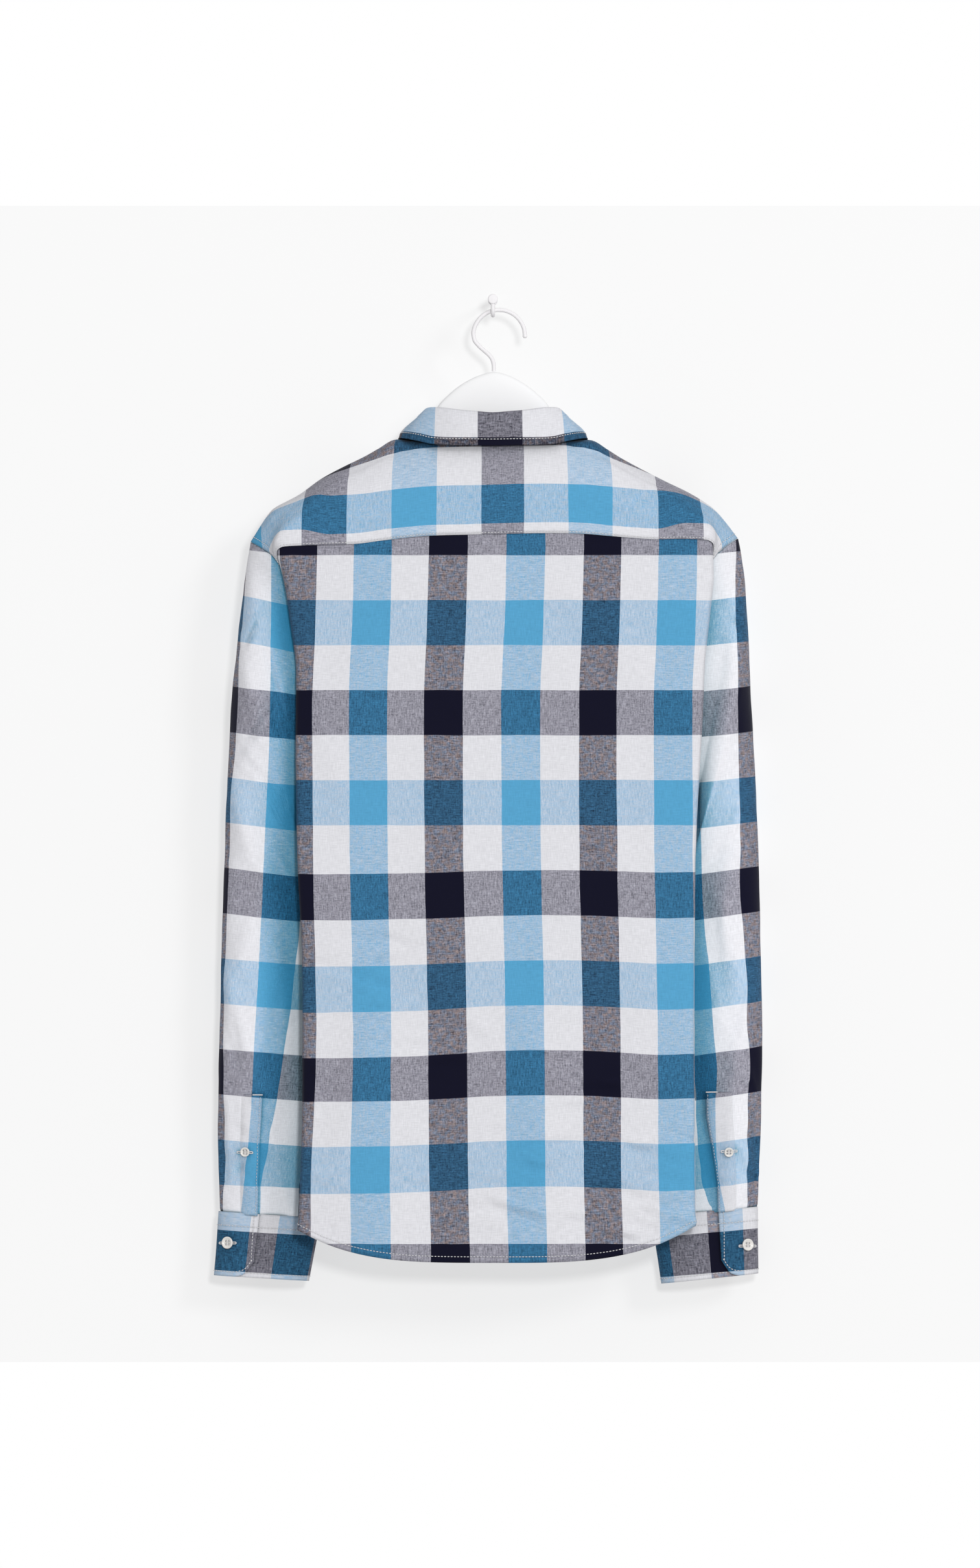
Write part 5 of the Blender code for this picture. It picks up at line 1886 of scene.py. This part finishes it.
@dataclass
class Wardrobe:
    """What every sub-assembly works with, and the pieces made so far."""

    finish: Finishes
    stitcher: Stitcher
    sheets: dict[str, Sheet] = field(default_factory=dict)
    pieces: dict[str, Object] = field(default_factory=dict)

    def hand_in(self, piece: Object, slot: str, *nodes: str) -> None:
        """Fix a piece to the body.

        Args:
            piece: The piece.
            slot: Not used.
            *nodes: The nodes it stands for.
        """
        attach(piece, "root")
        if nodes:
            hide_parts(*nodes)
        self.pieces[piece.name] = piece

    def cloth(self, sheet: Sheet, node: str, rests_on: Sequence[str], slot: str = "linen",
              shell: float = CLOTH_SHELL) -> None:
        """Args:
            sheet: The sheet.
            node: The node it stands for.
            rests_on: What holds it; not used.
            slot: "linen" gives the plain linen to a piece with no finish of its own, any other name the
                interlined linen.
            shell: Thickness of its wall, in millimetres.
        """
        self.sheets[node] = sheet
        own = (("collar", self.finish.collar), ("cuff", self.finish.cuff),
               ("sleeve_placket", self.finish.trim), ("sleeve", self.finish.sleeve),
               ("", self.finish.linen if slot == "linen" else self.finish.trim))
        finish = next(made for start, made in own if node.startswith(start))
        piece = sheet.build(finish, shell)
        self.hand_in(piece, slot, node)
        width, length, area = sheet.measure()
        list(rests_on)

    def sew(self, name: str, lines: Sequence[Array], seed: int = 7, **sizes: float) -> None:
        """Lay rows of stitches."""
        self.hand_in(self.stitcher.sew(name, lines, seed, **sizes), "linen")


@dataclass
class Torso:
    """The back, the yoke, the two fronts and the front placket."""

    ward: Wardrobe
    hem_stitch: float = 5.6
    seam_stitch: float = 5.0
    yoke_stitch: Pair = (1.6, 1.8)
    hem_turn: float = 5.0
    hem_thick: float = .45
    side_tuck: float = .7
    lap_drop: float = 1.4
    lap_thick: float = .9
    end_pull: float = 5.0
    neck_rise: float = 2.8
    neck_rise_x: Pair = (91.0, 15.0)
    placket_columns: int = 9

    def build(self) -> None:
        """Build the body of the shirt."""
        yoke_form = yoke_grid()
        self.back()
        self.yoke(yoke_form)
        self.front(LEFT, yoke_form)
        self.front(RIGHT, yoke_form)
        self.placket()

    def back(self) -> None:
        """Build the back panel."""
        points = fine(back_grid(), 12, 5)
        sheet = Sheet("shirt_back", points, body_cloth(points), 1)
        arm = (len(ARMHOLE_BACK) - .4) / (len(ARMHOLE_BACK) + BODY_ROWS)
        beside = smooth((arm * len(points) - np.arange(len(points))) / 14)[:, None]
        y = sheet.points[..., 1]
        for edge in (Edge.START, Edge.END):
            away = sheet.inside(edge)
            order = np.argsort(away, axis=1)
            level = np.array([np.interp(15, away[i, order[i]], y[i, order[i]]) for i in range(len(y))])
            near = 1 - smooth((away - 2) / 13)
            y += np.minimum(level[:, None] - y, 0) * self.side_tuck * near * beside
        sheet.refresh()
        crease(sheet, BACK_FOLDS)
        small = scattered(11, 30, (20, 182), (-872, -700), (22, 70), (-24, 14), 2.3)
        small += scattered(12, 28, (-180, -20), (-872, -560), (22, 80), (-30, 30), 1.5)
        small += scattered(13, 22, (-150, 160), (-560, -270), (30, 90), (-70, 70), .55)
        crease(sheet, small)
        sheet.lift(crumple(points, 3, 60, .22) + crumple(points, 4, 23, .08))
        hem = sheet.inside(Edge.FOOT)
        sheet.lift(self.hem_thick * (1 - smooth((hem - self.hem_turn) / 4)))
        self.ward.cloth(sheet, "back", ["yoke", "hanger"])
        self.ward.sew("stitches_back", [
            sheet.rail(Edge.FOOT, self.hem_stitch, .02, .98),
            sheet.rail(Edge.START, self.seam_stitch, .0, arm),
            sheet.rail(Edge.END, self.seam_stitch, .0, arm)], 21)

    def yoke(self, form: Array) -> None:
        """Build the yoke, which laps over the top of the back.

        Args:
            form: Its main points.
        """
        down, across = 8, 6
        points = fine(form, down, across)
        away = np.linalg.norm(points - points[:1], axis=-1)
        points[..., 2] -= self.lap_drop * (1 - smooth(away / 12))
        rows, columns = np.indices((points.shape[0] - 1, points.shape[1] - 1))
        middle = (columns >= SHOULDER_CELLS * across) & (columns < (SHOULDER_CELLS + MIDDLE_CELLS) * across)
        holds = (rows < YOKE_BACK_ROWS * down) | ~middle
        move = np.diff(points, axis=0)
        length = np.linalg.norm(move, axis=-1)
        step = np.where(move[..., 2] > .75 * length, move[..., 2], length)
        up = np.concatenate([np.zeros((1, points.shape[1])), np.cumsum(step, axis=0)])
        cloth = crosswise(points, up, YOKE_WARP, YOKE_WEFT)
        x = points[..., 0]
        cloth[..., 1] += YOKE_PULL(x)
        cloth[..., 0] -= self.end_pull * smooth((np.abs(x) - 150) / 30)
        centre, half = self.neck_rise_x
        beside = 1 - np.clip(np.abs(np.abs(x) - centre) / half, 0, 1)
        high = smooth((points[..., 2] - shoulder_z(x) + 14) / 12)
        points[..., 2] += self.neck_rise * smooth(beside) * high
        sheet = Sheet("shirt_yoke", points, cloth, -1, holds=holds)
        crease(sheet, YOKE_FOLDS)
        sheet.lift(self.lap_thick * (1 - smooth((away - 4) / 10)) + crumple(points, 5, 45, .15))
        self.ward.cloth(sheet, "yoke", ["hanger"], "linen_trim")
        share = SHOULDER_CELLS / (form.shape[1] - 1)
        at_back, at_front = self.yoke_stitch
        self.ward.sew("stitches_yoke", [
            sheet.rail(Edge.TOP, at_back), sheet.rail(Edge.START, self.seam_stitch),
            sheet.rail(Edge.END, self.seam_stitch), sheet.rail(Edge.FOOT, at_front, 0, share),
            sheet.rail(Edge.FOOT, at_front, 1 - share, 1)], 22)

    def front(self, side: Side, yoke_form: Array) -> None:
        """Build one front.

        Args:
            side: The side.
            yoke_form: The yoke's main points.
        """
        points = fine(front_grid(side, yoke_form), 12, 4)
        sheet = Sheet(f"shirt_front_{side.name}", points, body_cloth(points), side.sign)
        crease(sheet, FRONT_FOLDS, 1)
        seed = 30 + side.sign
        crease(sheet, scattered(seed, 24, (-170, 170), (-860, -300), (24, 80), (-60, 60), .4), 1)
        sheet.lift(crumple(points, seed, 60, .2))
        self.ward.cloth(sheet, f"front_{side.name}", ["yoke", "hanger"])
        arm = (len(ARMHOLE_FRONT) - 1.4) / (len(ARMHOLE_FRONT) - 1 + BODY_ROWS)
        self.ward.sew(f"stitches_front_{side.name}", [
            sheet.rail(Edge.FOOT, self.hem_stitch),
            sheet.rail(Edge.START, self.seam_stitch, 0, arm)], 40 + side.sign)

    def placket(self) -> None:
        """Build the placket, a strip on the left front's edge."""
        under = self.ward.sheets["front_left"]
        strip = slice(under.points.shape[1] - self.placket_columns, None)
        points = under.points[:, strip] + (0, SEAM_WALL + GAP, 0)
        sheet = Sheet("shirt_front_placket", points, under.cloth[:, strip], -1)
        self.ward.cloth(sheet, "front_placket", ["front_left"], "linen_trim")
        self.ward.sew("stitches_placket", [sheet.rail(edge, self.seam_stitch)
                                           for edge in (Edge.START, Edge.END)], 23)


@dataclass
class Sleeve:
    """One sleeve with its placket and its buttoned cuff."""

    ward: Wardrobe
    side: Side
    middle_x: float = 216.0
    half: float = 34.0
    slit_top: Pair = (-737.5, -735.0)
    placket_steps: int = 85
    slit_dip: float = 2.2
    tuck: Pair = (2.2, .9)
    cuff_shell: float = 1.6
    edge_stitch: Triple = (4.4, 4.8, 12.5)
    placket_stitch: float = 1.8
    seam_column: int = field(init=False, default=0)

    def build(self) -> None:
        """Build the sleeve, then what is sewn on it."""
        self.tube()
        self.placket()
        self.cuff()

    def top_z(self) -> float:
        """Return the height of the placket's top."""
        return self.slit_top[0 if self.side.sign < 0 else 1]

    def tube(self) -> None:
        """Build the sleeve, whose columns start at its underarm seam."""
        side = self.side
        form = np.roll(sleeve_grid(side), -HALF_RING, axis=1)
        self.seam_column = form.shape[1] - HALF_RING
        points = fine(form, 12, 4, True)
        cloth = sleeve_cloth(side, points, self.seam_column * 4)
        sheet = Sheet(f"shirt_sleeve_{side.name}", points, cloth, -side.sign, joined=True)
        for facing in (-1, 1):
            crease(sheet, SLEEVE_FOLDS[side.name], facing)
        seed = 50 + side.sign
        middle = self.middle_x * side.sign
        for facing in (-1, 1):
            small = scattered(seed + 5 * facing, 30, (middle - self.half, middle + self.half), (-850, -290),
                              (26, 90), (35, 145), 1.0)
            crease(sheet, small, facing)
        sheet.lift(crumple(points, seed, 50, .25) + crumple(points, seed + 1, 20, .08))
        past = np.arange(points.shape[1])[None] - (self.seam_column + PLACKET_LAST) * 4
        below = self.top_z() + 2 - points[..., 2]
        sheet.lift(-self.slit_dip * smooth(past / 1.2) * smooth((7 - past) / 5) * smooth(below / 6))
        down, inside = self.tuck
        sheet.points[-1] += (0, 0, -down)
        sheet.points[-1] -= sheet.normals[-1] * inside
        sheet.refresh()
        self.ward.cloth(sheet, f"sleeve_{side.name}", ["yoke", "hanger"])

    def placket(self) -> None:
        """Build the placket over the slit."""
        side = self.side
        under = self.ward.sheets[f"sleeve_{side.name}"]
        columns = np.arange((self.seam_column + PLACKET_FIRST) * 4, (self.seam_column + PLACKET_LAST) * 4 + 1)
        last = len(under.points) - 1
        top = [float(np.interp(-self.top_z(), -under.points[:, column, 2], np.arange(last + 1)))
               for column in columns]
        rows = np.linspace(top, np.full(len(columns), float(last)), self.placket_steps)
        above = np.minimum(rows.astype(int), last - 1)
        share = (rows - above)[..., None]
        points, normals, cloth = (mix(values[above, columns], values[above + 1, columns], share)
                                  for values in (under.points, under.normals, under.cloth))
        sheet = Sheet(f"shirt_sleeve_placket_{side.name}", points, cloth, under.outward)
        proud = smooth(sheet.inside(Edge.START) / 8) * smooth(sheet.inside(Edge.TOP) / 3 + .3)
        sheet.lift(mix(-.35, SEAM_WALL + GAP, proud), normals)
        self.ward.cloth(sheet, f"sleeve_placket_{side.name}", [f"sleeve_{side.name}"], "linen_trim")
        self.ward.sew(f"stitches_sleeve_placket_{side.name}", [
            sheet.rail(Edge.END, self.placket_stitch, .03)], 60 + side.sign, thick=.5)
        self.ward.sew(f"bar_tack_{side.name}", [sheet.rail(Edge.TOP, .9, .64, 1)],
                      62 + side.sign, pitch=.5, length=1.0, thick=1.3)

    def cuff(self) -> None:
        """Build the cuff."""
        side = self.side
        points = fine(cuff_grid(side), 8, 4)
        sheet = Sheet(f"shirt_cuff_{side.name}", points, cuff_cloth(side, points), -side.sign)
        sheet.lift(crumple(points, 70 + side.sign, 40, .2))
        self.ward.cloth(sheet, f"cuff_{side.name}", [f"sleeve_{side.name}"], "linen_trim", self.cuff_shell)
        at_hem, at_end, at_top = self.edge_stitch
        low, edge = sheet.rail(Edge.FOOT, at_hem), sheet.rail(Edge.END, at_end)
        apart = np.linalg.norm(low[:, None] - edge[None], axis=-1)
        corner = np.unravel_index(int(np.argmin(apart)), apart.shape)
        self.ward.sew(f"stitches_cuff_{side.name}", [
            low[:corner[0] + 1], edge[:corner[1] + 1], sheet.rail(Edge.TOP, at_top)], 80 + side.sign)


@dataclass
class Collar:
    """The stand and the leaf that falls over it."""

    ward: Wardrobe
    shell: float = 1.2
    edge_stitch: Pair = (6.0, 5.0)

    def build(self) -> None:
        """Build both pieces."""
        points = fine(stand_grid(), 6, 5)
        up = np.linalg.norm(points - points[:1], axis=-1)
        stand = Sheet("shirt_collar_stand", points, crosswise(points, up, COLLAR_WARP, COLLAR_WEFT), -1)
        self.ward.cloth(stand, "collar_stand", ["yoke"], "linen_trim", self.shell)
        points = fine(leaf_grid(), 7, 5)
        leaf = Sheet("shirt_collar_leaf", points, np.zeros(points.shape[:2] + (2,)), 1)
        leaf.cloth = crosswise(points, leaf.inside(Edge.FOOT), COLLAR_WARP, COLLAR_WEFT)
        leaf.lift(crumple(points, 90, 40, .12) * smooth(leaf.inside(Edge.TOP) / 20))
        self.ward.cloth(leaf, "collar_leaf", ["collar_stand"], "linen_trim", self.shell)
        along, across = self.edge_stitch
        self.ward.sew("stitches_collar", [leaf.rail(Edge.FOOT, along, .01, .99)] + [
            leaf.rail(edge, across, .2, .93) for edge in (Edge.START, Edge.END)], 24)


@dataclass
class Buttons:
    """The four-hole buttons with their thread, and the buttonholes under them."""

    ward: Wardrobe
    outline: tuple[Pair, ...] = (
        (0, 0), (.78, 0), (.93, .18), (1, .48), (.99, .72), (.94, .92), (.87, 1), (.8, .97),
        (.7, .82), (.62, .68), (0, .62))
    thick: float = 2.6
    large: float = 11.4
    small: float = 9.0
    bore: float = .95
    spread: float = 1.25
    thread: float = .26
    cord: float = .48
    front_count: int = 7

    def disc(self, diameter: float) -> Object:
        """Turn a button and drill its holes.

        Args:
            diameter: In millimetres.

        Returns:
            The button without its thread, its back at z = 0.
        """
        finish = self.ward.finish.button
        outline = [(radius * diameter / 2, height * self.thick) for radius, height in self.outline]
        body = lathed("disc", outline, finish, 48)
        drills = []
        for turn in (45, 135, 225, 315):
            hole = lathed("drill", rounded(self.bore, -2, self.thick + 2, .1, 2), finish, 16)
            x, y = (self.spread * 1.414 * f(math.radians(turn)) for f in (math.cos, math.sin))
            hole.matrix_world = Matrix.Translation((x * MM, y * MM, 0))
            drills.append(hole)
        drill = joined("drills", drills)
        cut = body.modifiers.new("Holes", "BOOLEAN")
        cut.operation = "DIFFERENCE"
        cut.solver = "EXACT"
        cut.object = drill
        settled(body)
        bpy.data.objects.remove(drill)
        return body

    def place(self, node: str, sheet: Sheet, diameter: float, upright: bool) -> Object:
        """Set a button where its node is, with its thread.

        Args:
            node: Name of the CAD node.
            sheet: The cloth under it.
            diameter: In millimetres.
            upright: Whether its buttonhole runs up and down.

        Returns:
            The corded edge of its buttonhole.
        """
        low, high = (np.array(corner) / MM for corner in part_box(node))
        centre = (low + high) / 2
        away = np.linalg.norm(sheet.points - centre, axis=-1)
        point, normal = sheet.spot(*np.unravel_index(int(np.argmin(away)), away.shape))
        base = centre - normal * ((centre - point) @ normal) + normal * GAP
        reach, thick = self.spread, self.thick
        threads = []
        for shift in (-reach, reach):
            for lane in (-.3, .3):
                heights = (.3, thick * .66, thick * .84, thick * .9, thick * .84, thick * .66, .3)
                places = (-reach, -reach, -reach * .6, 0, reach * .6, reach, reach)
                arc = [(x, shift + lane, z) for x, z in zip(places, heights)]
                threads.append(tube("thread", arc, self.thread, self.ward.finish.thread))
        whole = joined(node.replace("button", "four_hole_button"), [self.disc(diameter)] + threads)
        turn = Matrix.Rotation(math.radians(90 if upright else 0), 4, "Z")
        whole.data.transform(framed(base, normal) @ turn)
        self.ward.hand_in(whole, "button", node)
        half, side = diameter / 2 + 2.3, .85
        loop = [(math.copysign(half, math.cos(a)) + side * math.cos(a), side * math.sin(a), .25)
                for a in np.radians(np.arange(15, 375, 30))]
        edge = tube("hole", loop, self.cord, self.ward.finish.thread, closed=True, around=2)
        edge.data.transform(framed(point, normal) @ turn)
        return edge

    def build(self) -> None:
        """Set every button."""
        sheets = self.ward.sheets
        holes = [self.place(f"front_button_{number}", sheets["front_placket"], self.large, True)
                 for number in range(1, self.front_count + 1)]
        kinds = (("cuff", "cuff", self.large), ("sleeve", "sleeve_placket", self.small))
        for side in (LEFT, RIGHT):
            for kind, under, diameter in kinds:
                holes.append(self.place(f"{kind}_button_{side.name}", sheets[f"{under}_{side.name}"],
                                        diameter, False))
        self.ward.hand_in(joined("buttonholes", holes), "linen")


class Bar(NamedTuple):
    """An upright section of the hanger: its place across, top, underside and half-thickness."""

    x: float
    top: float
    low: float
    half: float


HANGER = rows_of(
    Bar,
    (-209, -205, -211, 2.5), (-207, -203, -215.5, 5), (-201, -198.2, -220, 6.5), (-190, -191.5, -216, 7),
    (-177, -184.3, -209, 7), (-156, -170, -197, 7), (-135, -158.3, -186, 7), (-112, -148.3, -177, 7),
    (-90, -142.5, -170, 7), (-74, -142, -164, 7), (-64, -134, -160, 7), (-56, -114, -158, 7),
    (-51, -99.5, -157, 7), (-42, -89.5, -155, 7), (-29, -79, -153, 7), (-12, -70.5, -151, 7),
    (1, -67.5, -150, 7), (14, -70.5, -151, 7), (30, -79, -153, 7), (42, -88.5, -155, 7),
    (51, -98, -157, 7), (57, -113, -158, 7), (65, -134, -160, 7), (76, -142, -164, 7),
    (92, -142, -170, 7), (111, -148, -177, 7), (135, -160.5, -186, 7), (151, -169, -195, 7),
    (182, -185, -212, 7), (193, -191.5, -219, 7), (203, -198.5, -222, 6.5), (209, -203.5, -217, 5),
    (211, -207, -213, 2.5))


def smooth_line(points: Sequence[Sequence[float]], factor: int) -> Array:
    """Return more points on a smooth curve through some."""
    return densify(np.array(points, float)[:, None], factor, 0)[:, 0]


@dataclass
class Hanger:
    """The wooden hanger and its wire crook."""

    ward: Wardrobe
    corners: int = 36
    steps: int = 4
    wire: float = 1.95
    bend: Triple = (5.7, -33.9, 24.0)
    bend_turn: float = 174.0
    neck: tuple[Pair, ...] = (
        (-17.2, -37.6), (-13.6, -42.6), (-8.4, -47.4), (-3.4, -51.9), (-.3, -56.5), (.8, -61.5), (.9, -67.0))
    tip: Pair = (1.12, 1.9)

    def build(self) -> None:
        """Build the wood, then the wire."""
        self.wood()
        self.crook()

    def wood(self) -> None:
        """Loft the wood through upright rounded sections."""
        turn = np.linspace(0, math.tau, self.corners, endpoint=False) + math.tau / self.corners / 2
        section = np.stack([np.sign(np.cos(turn)) * np.abs(np.cos(turn)) ** .6,
                            np.sign(np.sin(turn)) * np.abs(np.sin(turn)) ** .8], -1)
        section /= np.abs(section).max(axis=0)
        loops = [[(x, HANGER_Y + half * across, (top + low) / 2 + (top - low) / 2 * up)
                  for across, up in section] for x, top, low, half in smooth_line(HANGER, self.steps)]
        self.ward.hand_in(lofted("white_hanger", loops, self.ward.finish.wood), "hanger_wood", "hanger")

    def crook(self) -> None:
        """Bend the wire, with a rounded free end."""
        x, z, radius = self.bend
        turn = np.radians(np.linspace(0, self.bend_turn, 16))
        bend = [(x + radius * math.cos(a), HANGER_Y, z + radius * math.sin(a)) for a in turn]
        line = smooth_line(bend + [(across, HANGER_Y, high) for across, high in self.neck], 5)
        metal = self.ward.finish.metal
        wire = tube("wire", line, self.wire, metal, around=6)
        wider, half = self.tip
        tip = lathed("tip", rounded(self.wire * wider, -half, half, half - .02, 8), metal, 32)
        tip.matrix_world = Matrix.Translation(Vector((x + radius, HANGER_Y, z - .3)) * MM)
        self.ward.hand_in(joined("wire_crook", [wire, tip]), "wire", "hanger_crook")


@dataclass
class WallHook:
    """A bent rod with a knob at its tip and a small flange on the wall."""

    ward: Wardrobe
    rod: float = 2.0
    bend: float = 6.0
    low_z: float = -14.9
    shoulder: float = 9.0
    knob_and_flange: tuple[Colour, Colour] = ((4.65, 4.5, HANGER_Y - 6.8, 1.2), (4.5, 3.5, -1.75, .8))

    def build(self) -> None:
        """Build the hook from its rod, knob and flange."""
        metal = self.ward.finish.metal
        arm_y, tip_y = HANGER_Y + self.bend, HANGER_Y - self.bend
        shoulder = [(0, arm_y + self.shoulder * (1 - math.sin(a)), -self.shoulder * (1 - math.cos(a)))
                    for a in np.radians(np.linspace(0, 80, 14))]
        bend = [(0, HANGER_Y + self.bend * math.cos(a), self.low_z + self.bend * (1 - math.sin(a)))
                for a in np.radians(np.linspace(0, 180, 32))]
        route = [(0, -1, 0)] + shoulder + bend + [(0, tip_y, -4), (0, tip_y, 1)]
        pieces = [tube("rod", route, self.rod, metal, around=6)]
        for radius, thick, y, corner in self.knob_and_flange:
            pieces.append(lathed("disc", rounded(radius, -thick / 2, thick / 2, corner, 5), metal, 48))
            turn = Matrix.Rotation(math.pi / 2, 4, "X")
            pieces[-1].matrix_world = Matrix.Translation((0, y * MM, 0)) @ turn
        self.ward.hand_in(joined("round_wall_hook", pieces), "hook", "wall_hook")


# ---------------------------------------------------------------- stage, lights and camera


@dataclass(frozen=True)
class Lamp:
    """An area lamp: place, aim, size and power."""

    name: str
    place: Triple
    aim: Triple
    size: float
    power: float

    def hang(self) -> None:
        """Put the lamp in the scene."""
        data = bpy.data.lights.new(self.name, "AREA")
        data.shape = "DISK"
        data.size = self.size
        data.energy = self.power
        light = linked(self.name, data)
        light.location = self.place
        light.rotation_euler = (Vector(self.aim) - Vector(self.place)).to_track_quat("-Z", "Y").to_euler()


@dataclass
class Studio:
    """The pale wall, the light and the camera. Lengths are in metres."""

    lamps: tuple[Lamp, ...] = (
        Lamp("key", (1.08, -9.0, .9), (0, 0, -.45), 1.0, 318),
        Lamp("side", (7.0, -8.3, 4.4), (0, 0, -.4), 2.9, 282),
        Lamp("behind", (.4, 2.6, .6), (0, 0, -.45), 2.0, 30))
    wall_x: Pair = (-1.6, 1.6)
    wall_z: Pair = (-.9874, .0881)
    wall_y: float = .0006
    wall_grey: Pair = (.94, .9)
    wall_glow: float = 1.06
    wall_matt: float = .42
    room: float = .47
    lens: float = 794.0
    stand: Triple = (-.0027, -20.097, -.4497)

    def build(self) -> None:
        """Set the stage."""
        self.wall()
        self.world()
        for lamp in self.lamps:
            lamp.hang()
        self.camera()

    def wall(self) -> None:
        """Put a pale panel just behind the hook; it doesn't show from behind."""
        made = bpy.data.materials.new("Pale wall")
        made.use_nodes = True
        made.node_tree.nodes.clear()
        tree = Tree(made.node_tree)
        own, matt = ((grey, grey, grey, 1) for grey in self.wall_grey)
        glow = tree.value("ShaderNodeEmission", {"Color": own, "Strength": self.wall_glow})
        plain = tree.value("ShaderNodeBsdfDiffuse", {"Color": matt})
        both = tree.value("ShaderNodeMixShader", {0: self.wall_matt, 1: glow, 2: plain})
        clear = tree.value("ShaderNodeBsdfTransparent")
        behind = tree.value("ShaderNodeNewGeometry", output="Backfacing")
        shown = tree.value("ShaderNodeMixShader", {0: behind, 1: both, 2: clear})
        tree.add("ShaderNodeOutputMaterial", {0: shown})
        (left, right), (low, high), y = self.wall_x, self.wall_z, self.wall_y
        mesh = bpy.data.meshes.new("pale_wall")
        corners = [(left, y, low), (right, y, low), (right, y, high), (left, y, high)]
        mesh.from_pydata(corners, [], [(0, 1, 2, 3)])
        mesh.materials.append(made)
        wall = linked("pale_wall", mesh)
        wall.visible_diffuse = wall.visible_glossy = False
        wall.visible_transmission = wall.visible_shadow = False

    def world(self) -> None:
        """White to the camera, a soft grey to the cloth."""
        world = bpy.data.worlds.new("Soft room")
        bpy.context.scene.world = world
        world.use_nodes = True
        world.node_tree.nodes.clear()
        tree = Tree(world.node_tree)
        seen = tree.add("ShaderNodeLightPath").outputs
        level = tree.math("MAXIMUM", seen["Is Glossy Ray"], seen["Is Transmission Ray"])
        level = tree.math("MAXIMUM", seen["Is Camera Ray"], level)
        level = tree.math("MAXIMUM", level, self.room)
        back = tree.value("ShaderNodeBackground", {"Color": (1, 1, 1, 1), "Strength": level})
        tree.add("ShaderNodeOutputWorld", {0: back})

    def camera(self) -> None:
        """Look straight at the shirt's back."""
        data = bpy.data.cameras.new("camera")
        data.sensor_fit = "HORIZONTAL"
        data.sensor_width = 36.0
        data.lens = self.lens
        data.clip_end = 100
        camera = linked("camera", data)
        camera.location = self.stand
        camera.rotation_euler = (math.pi / 2, 0, 0)
        bpy.context.scene.camera = camera
        bpy.context.scene.view_settings.view_transform = "Standard"
        bpy.context.scene.view_settings.look = "None"


def main() -> None:
    """Build the looks on the frame."""
    logging.basicConfig(level=logging.INFO)
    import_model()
    finish = Finishes()
    ward = Wardrobe(finish, Stitcher(finish.thread))
    for part in (Torso(ward), Sleeve(ward, LEFT), Sleeve(ward, RIGHT), Collar(ward), Buttons(ward),
                 Hanger(ward), WallHook(ward)):
        part.build()
    Studio().build()
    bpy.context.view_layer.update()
    for name, piece in ward.pieces.items():
        log.info("%s: %d faces", name, len(piece.data.polygons))


if __name__ == "__main__":
    main()
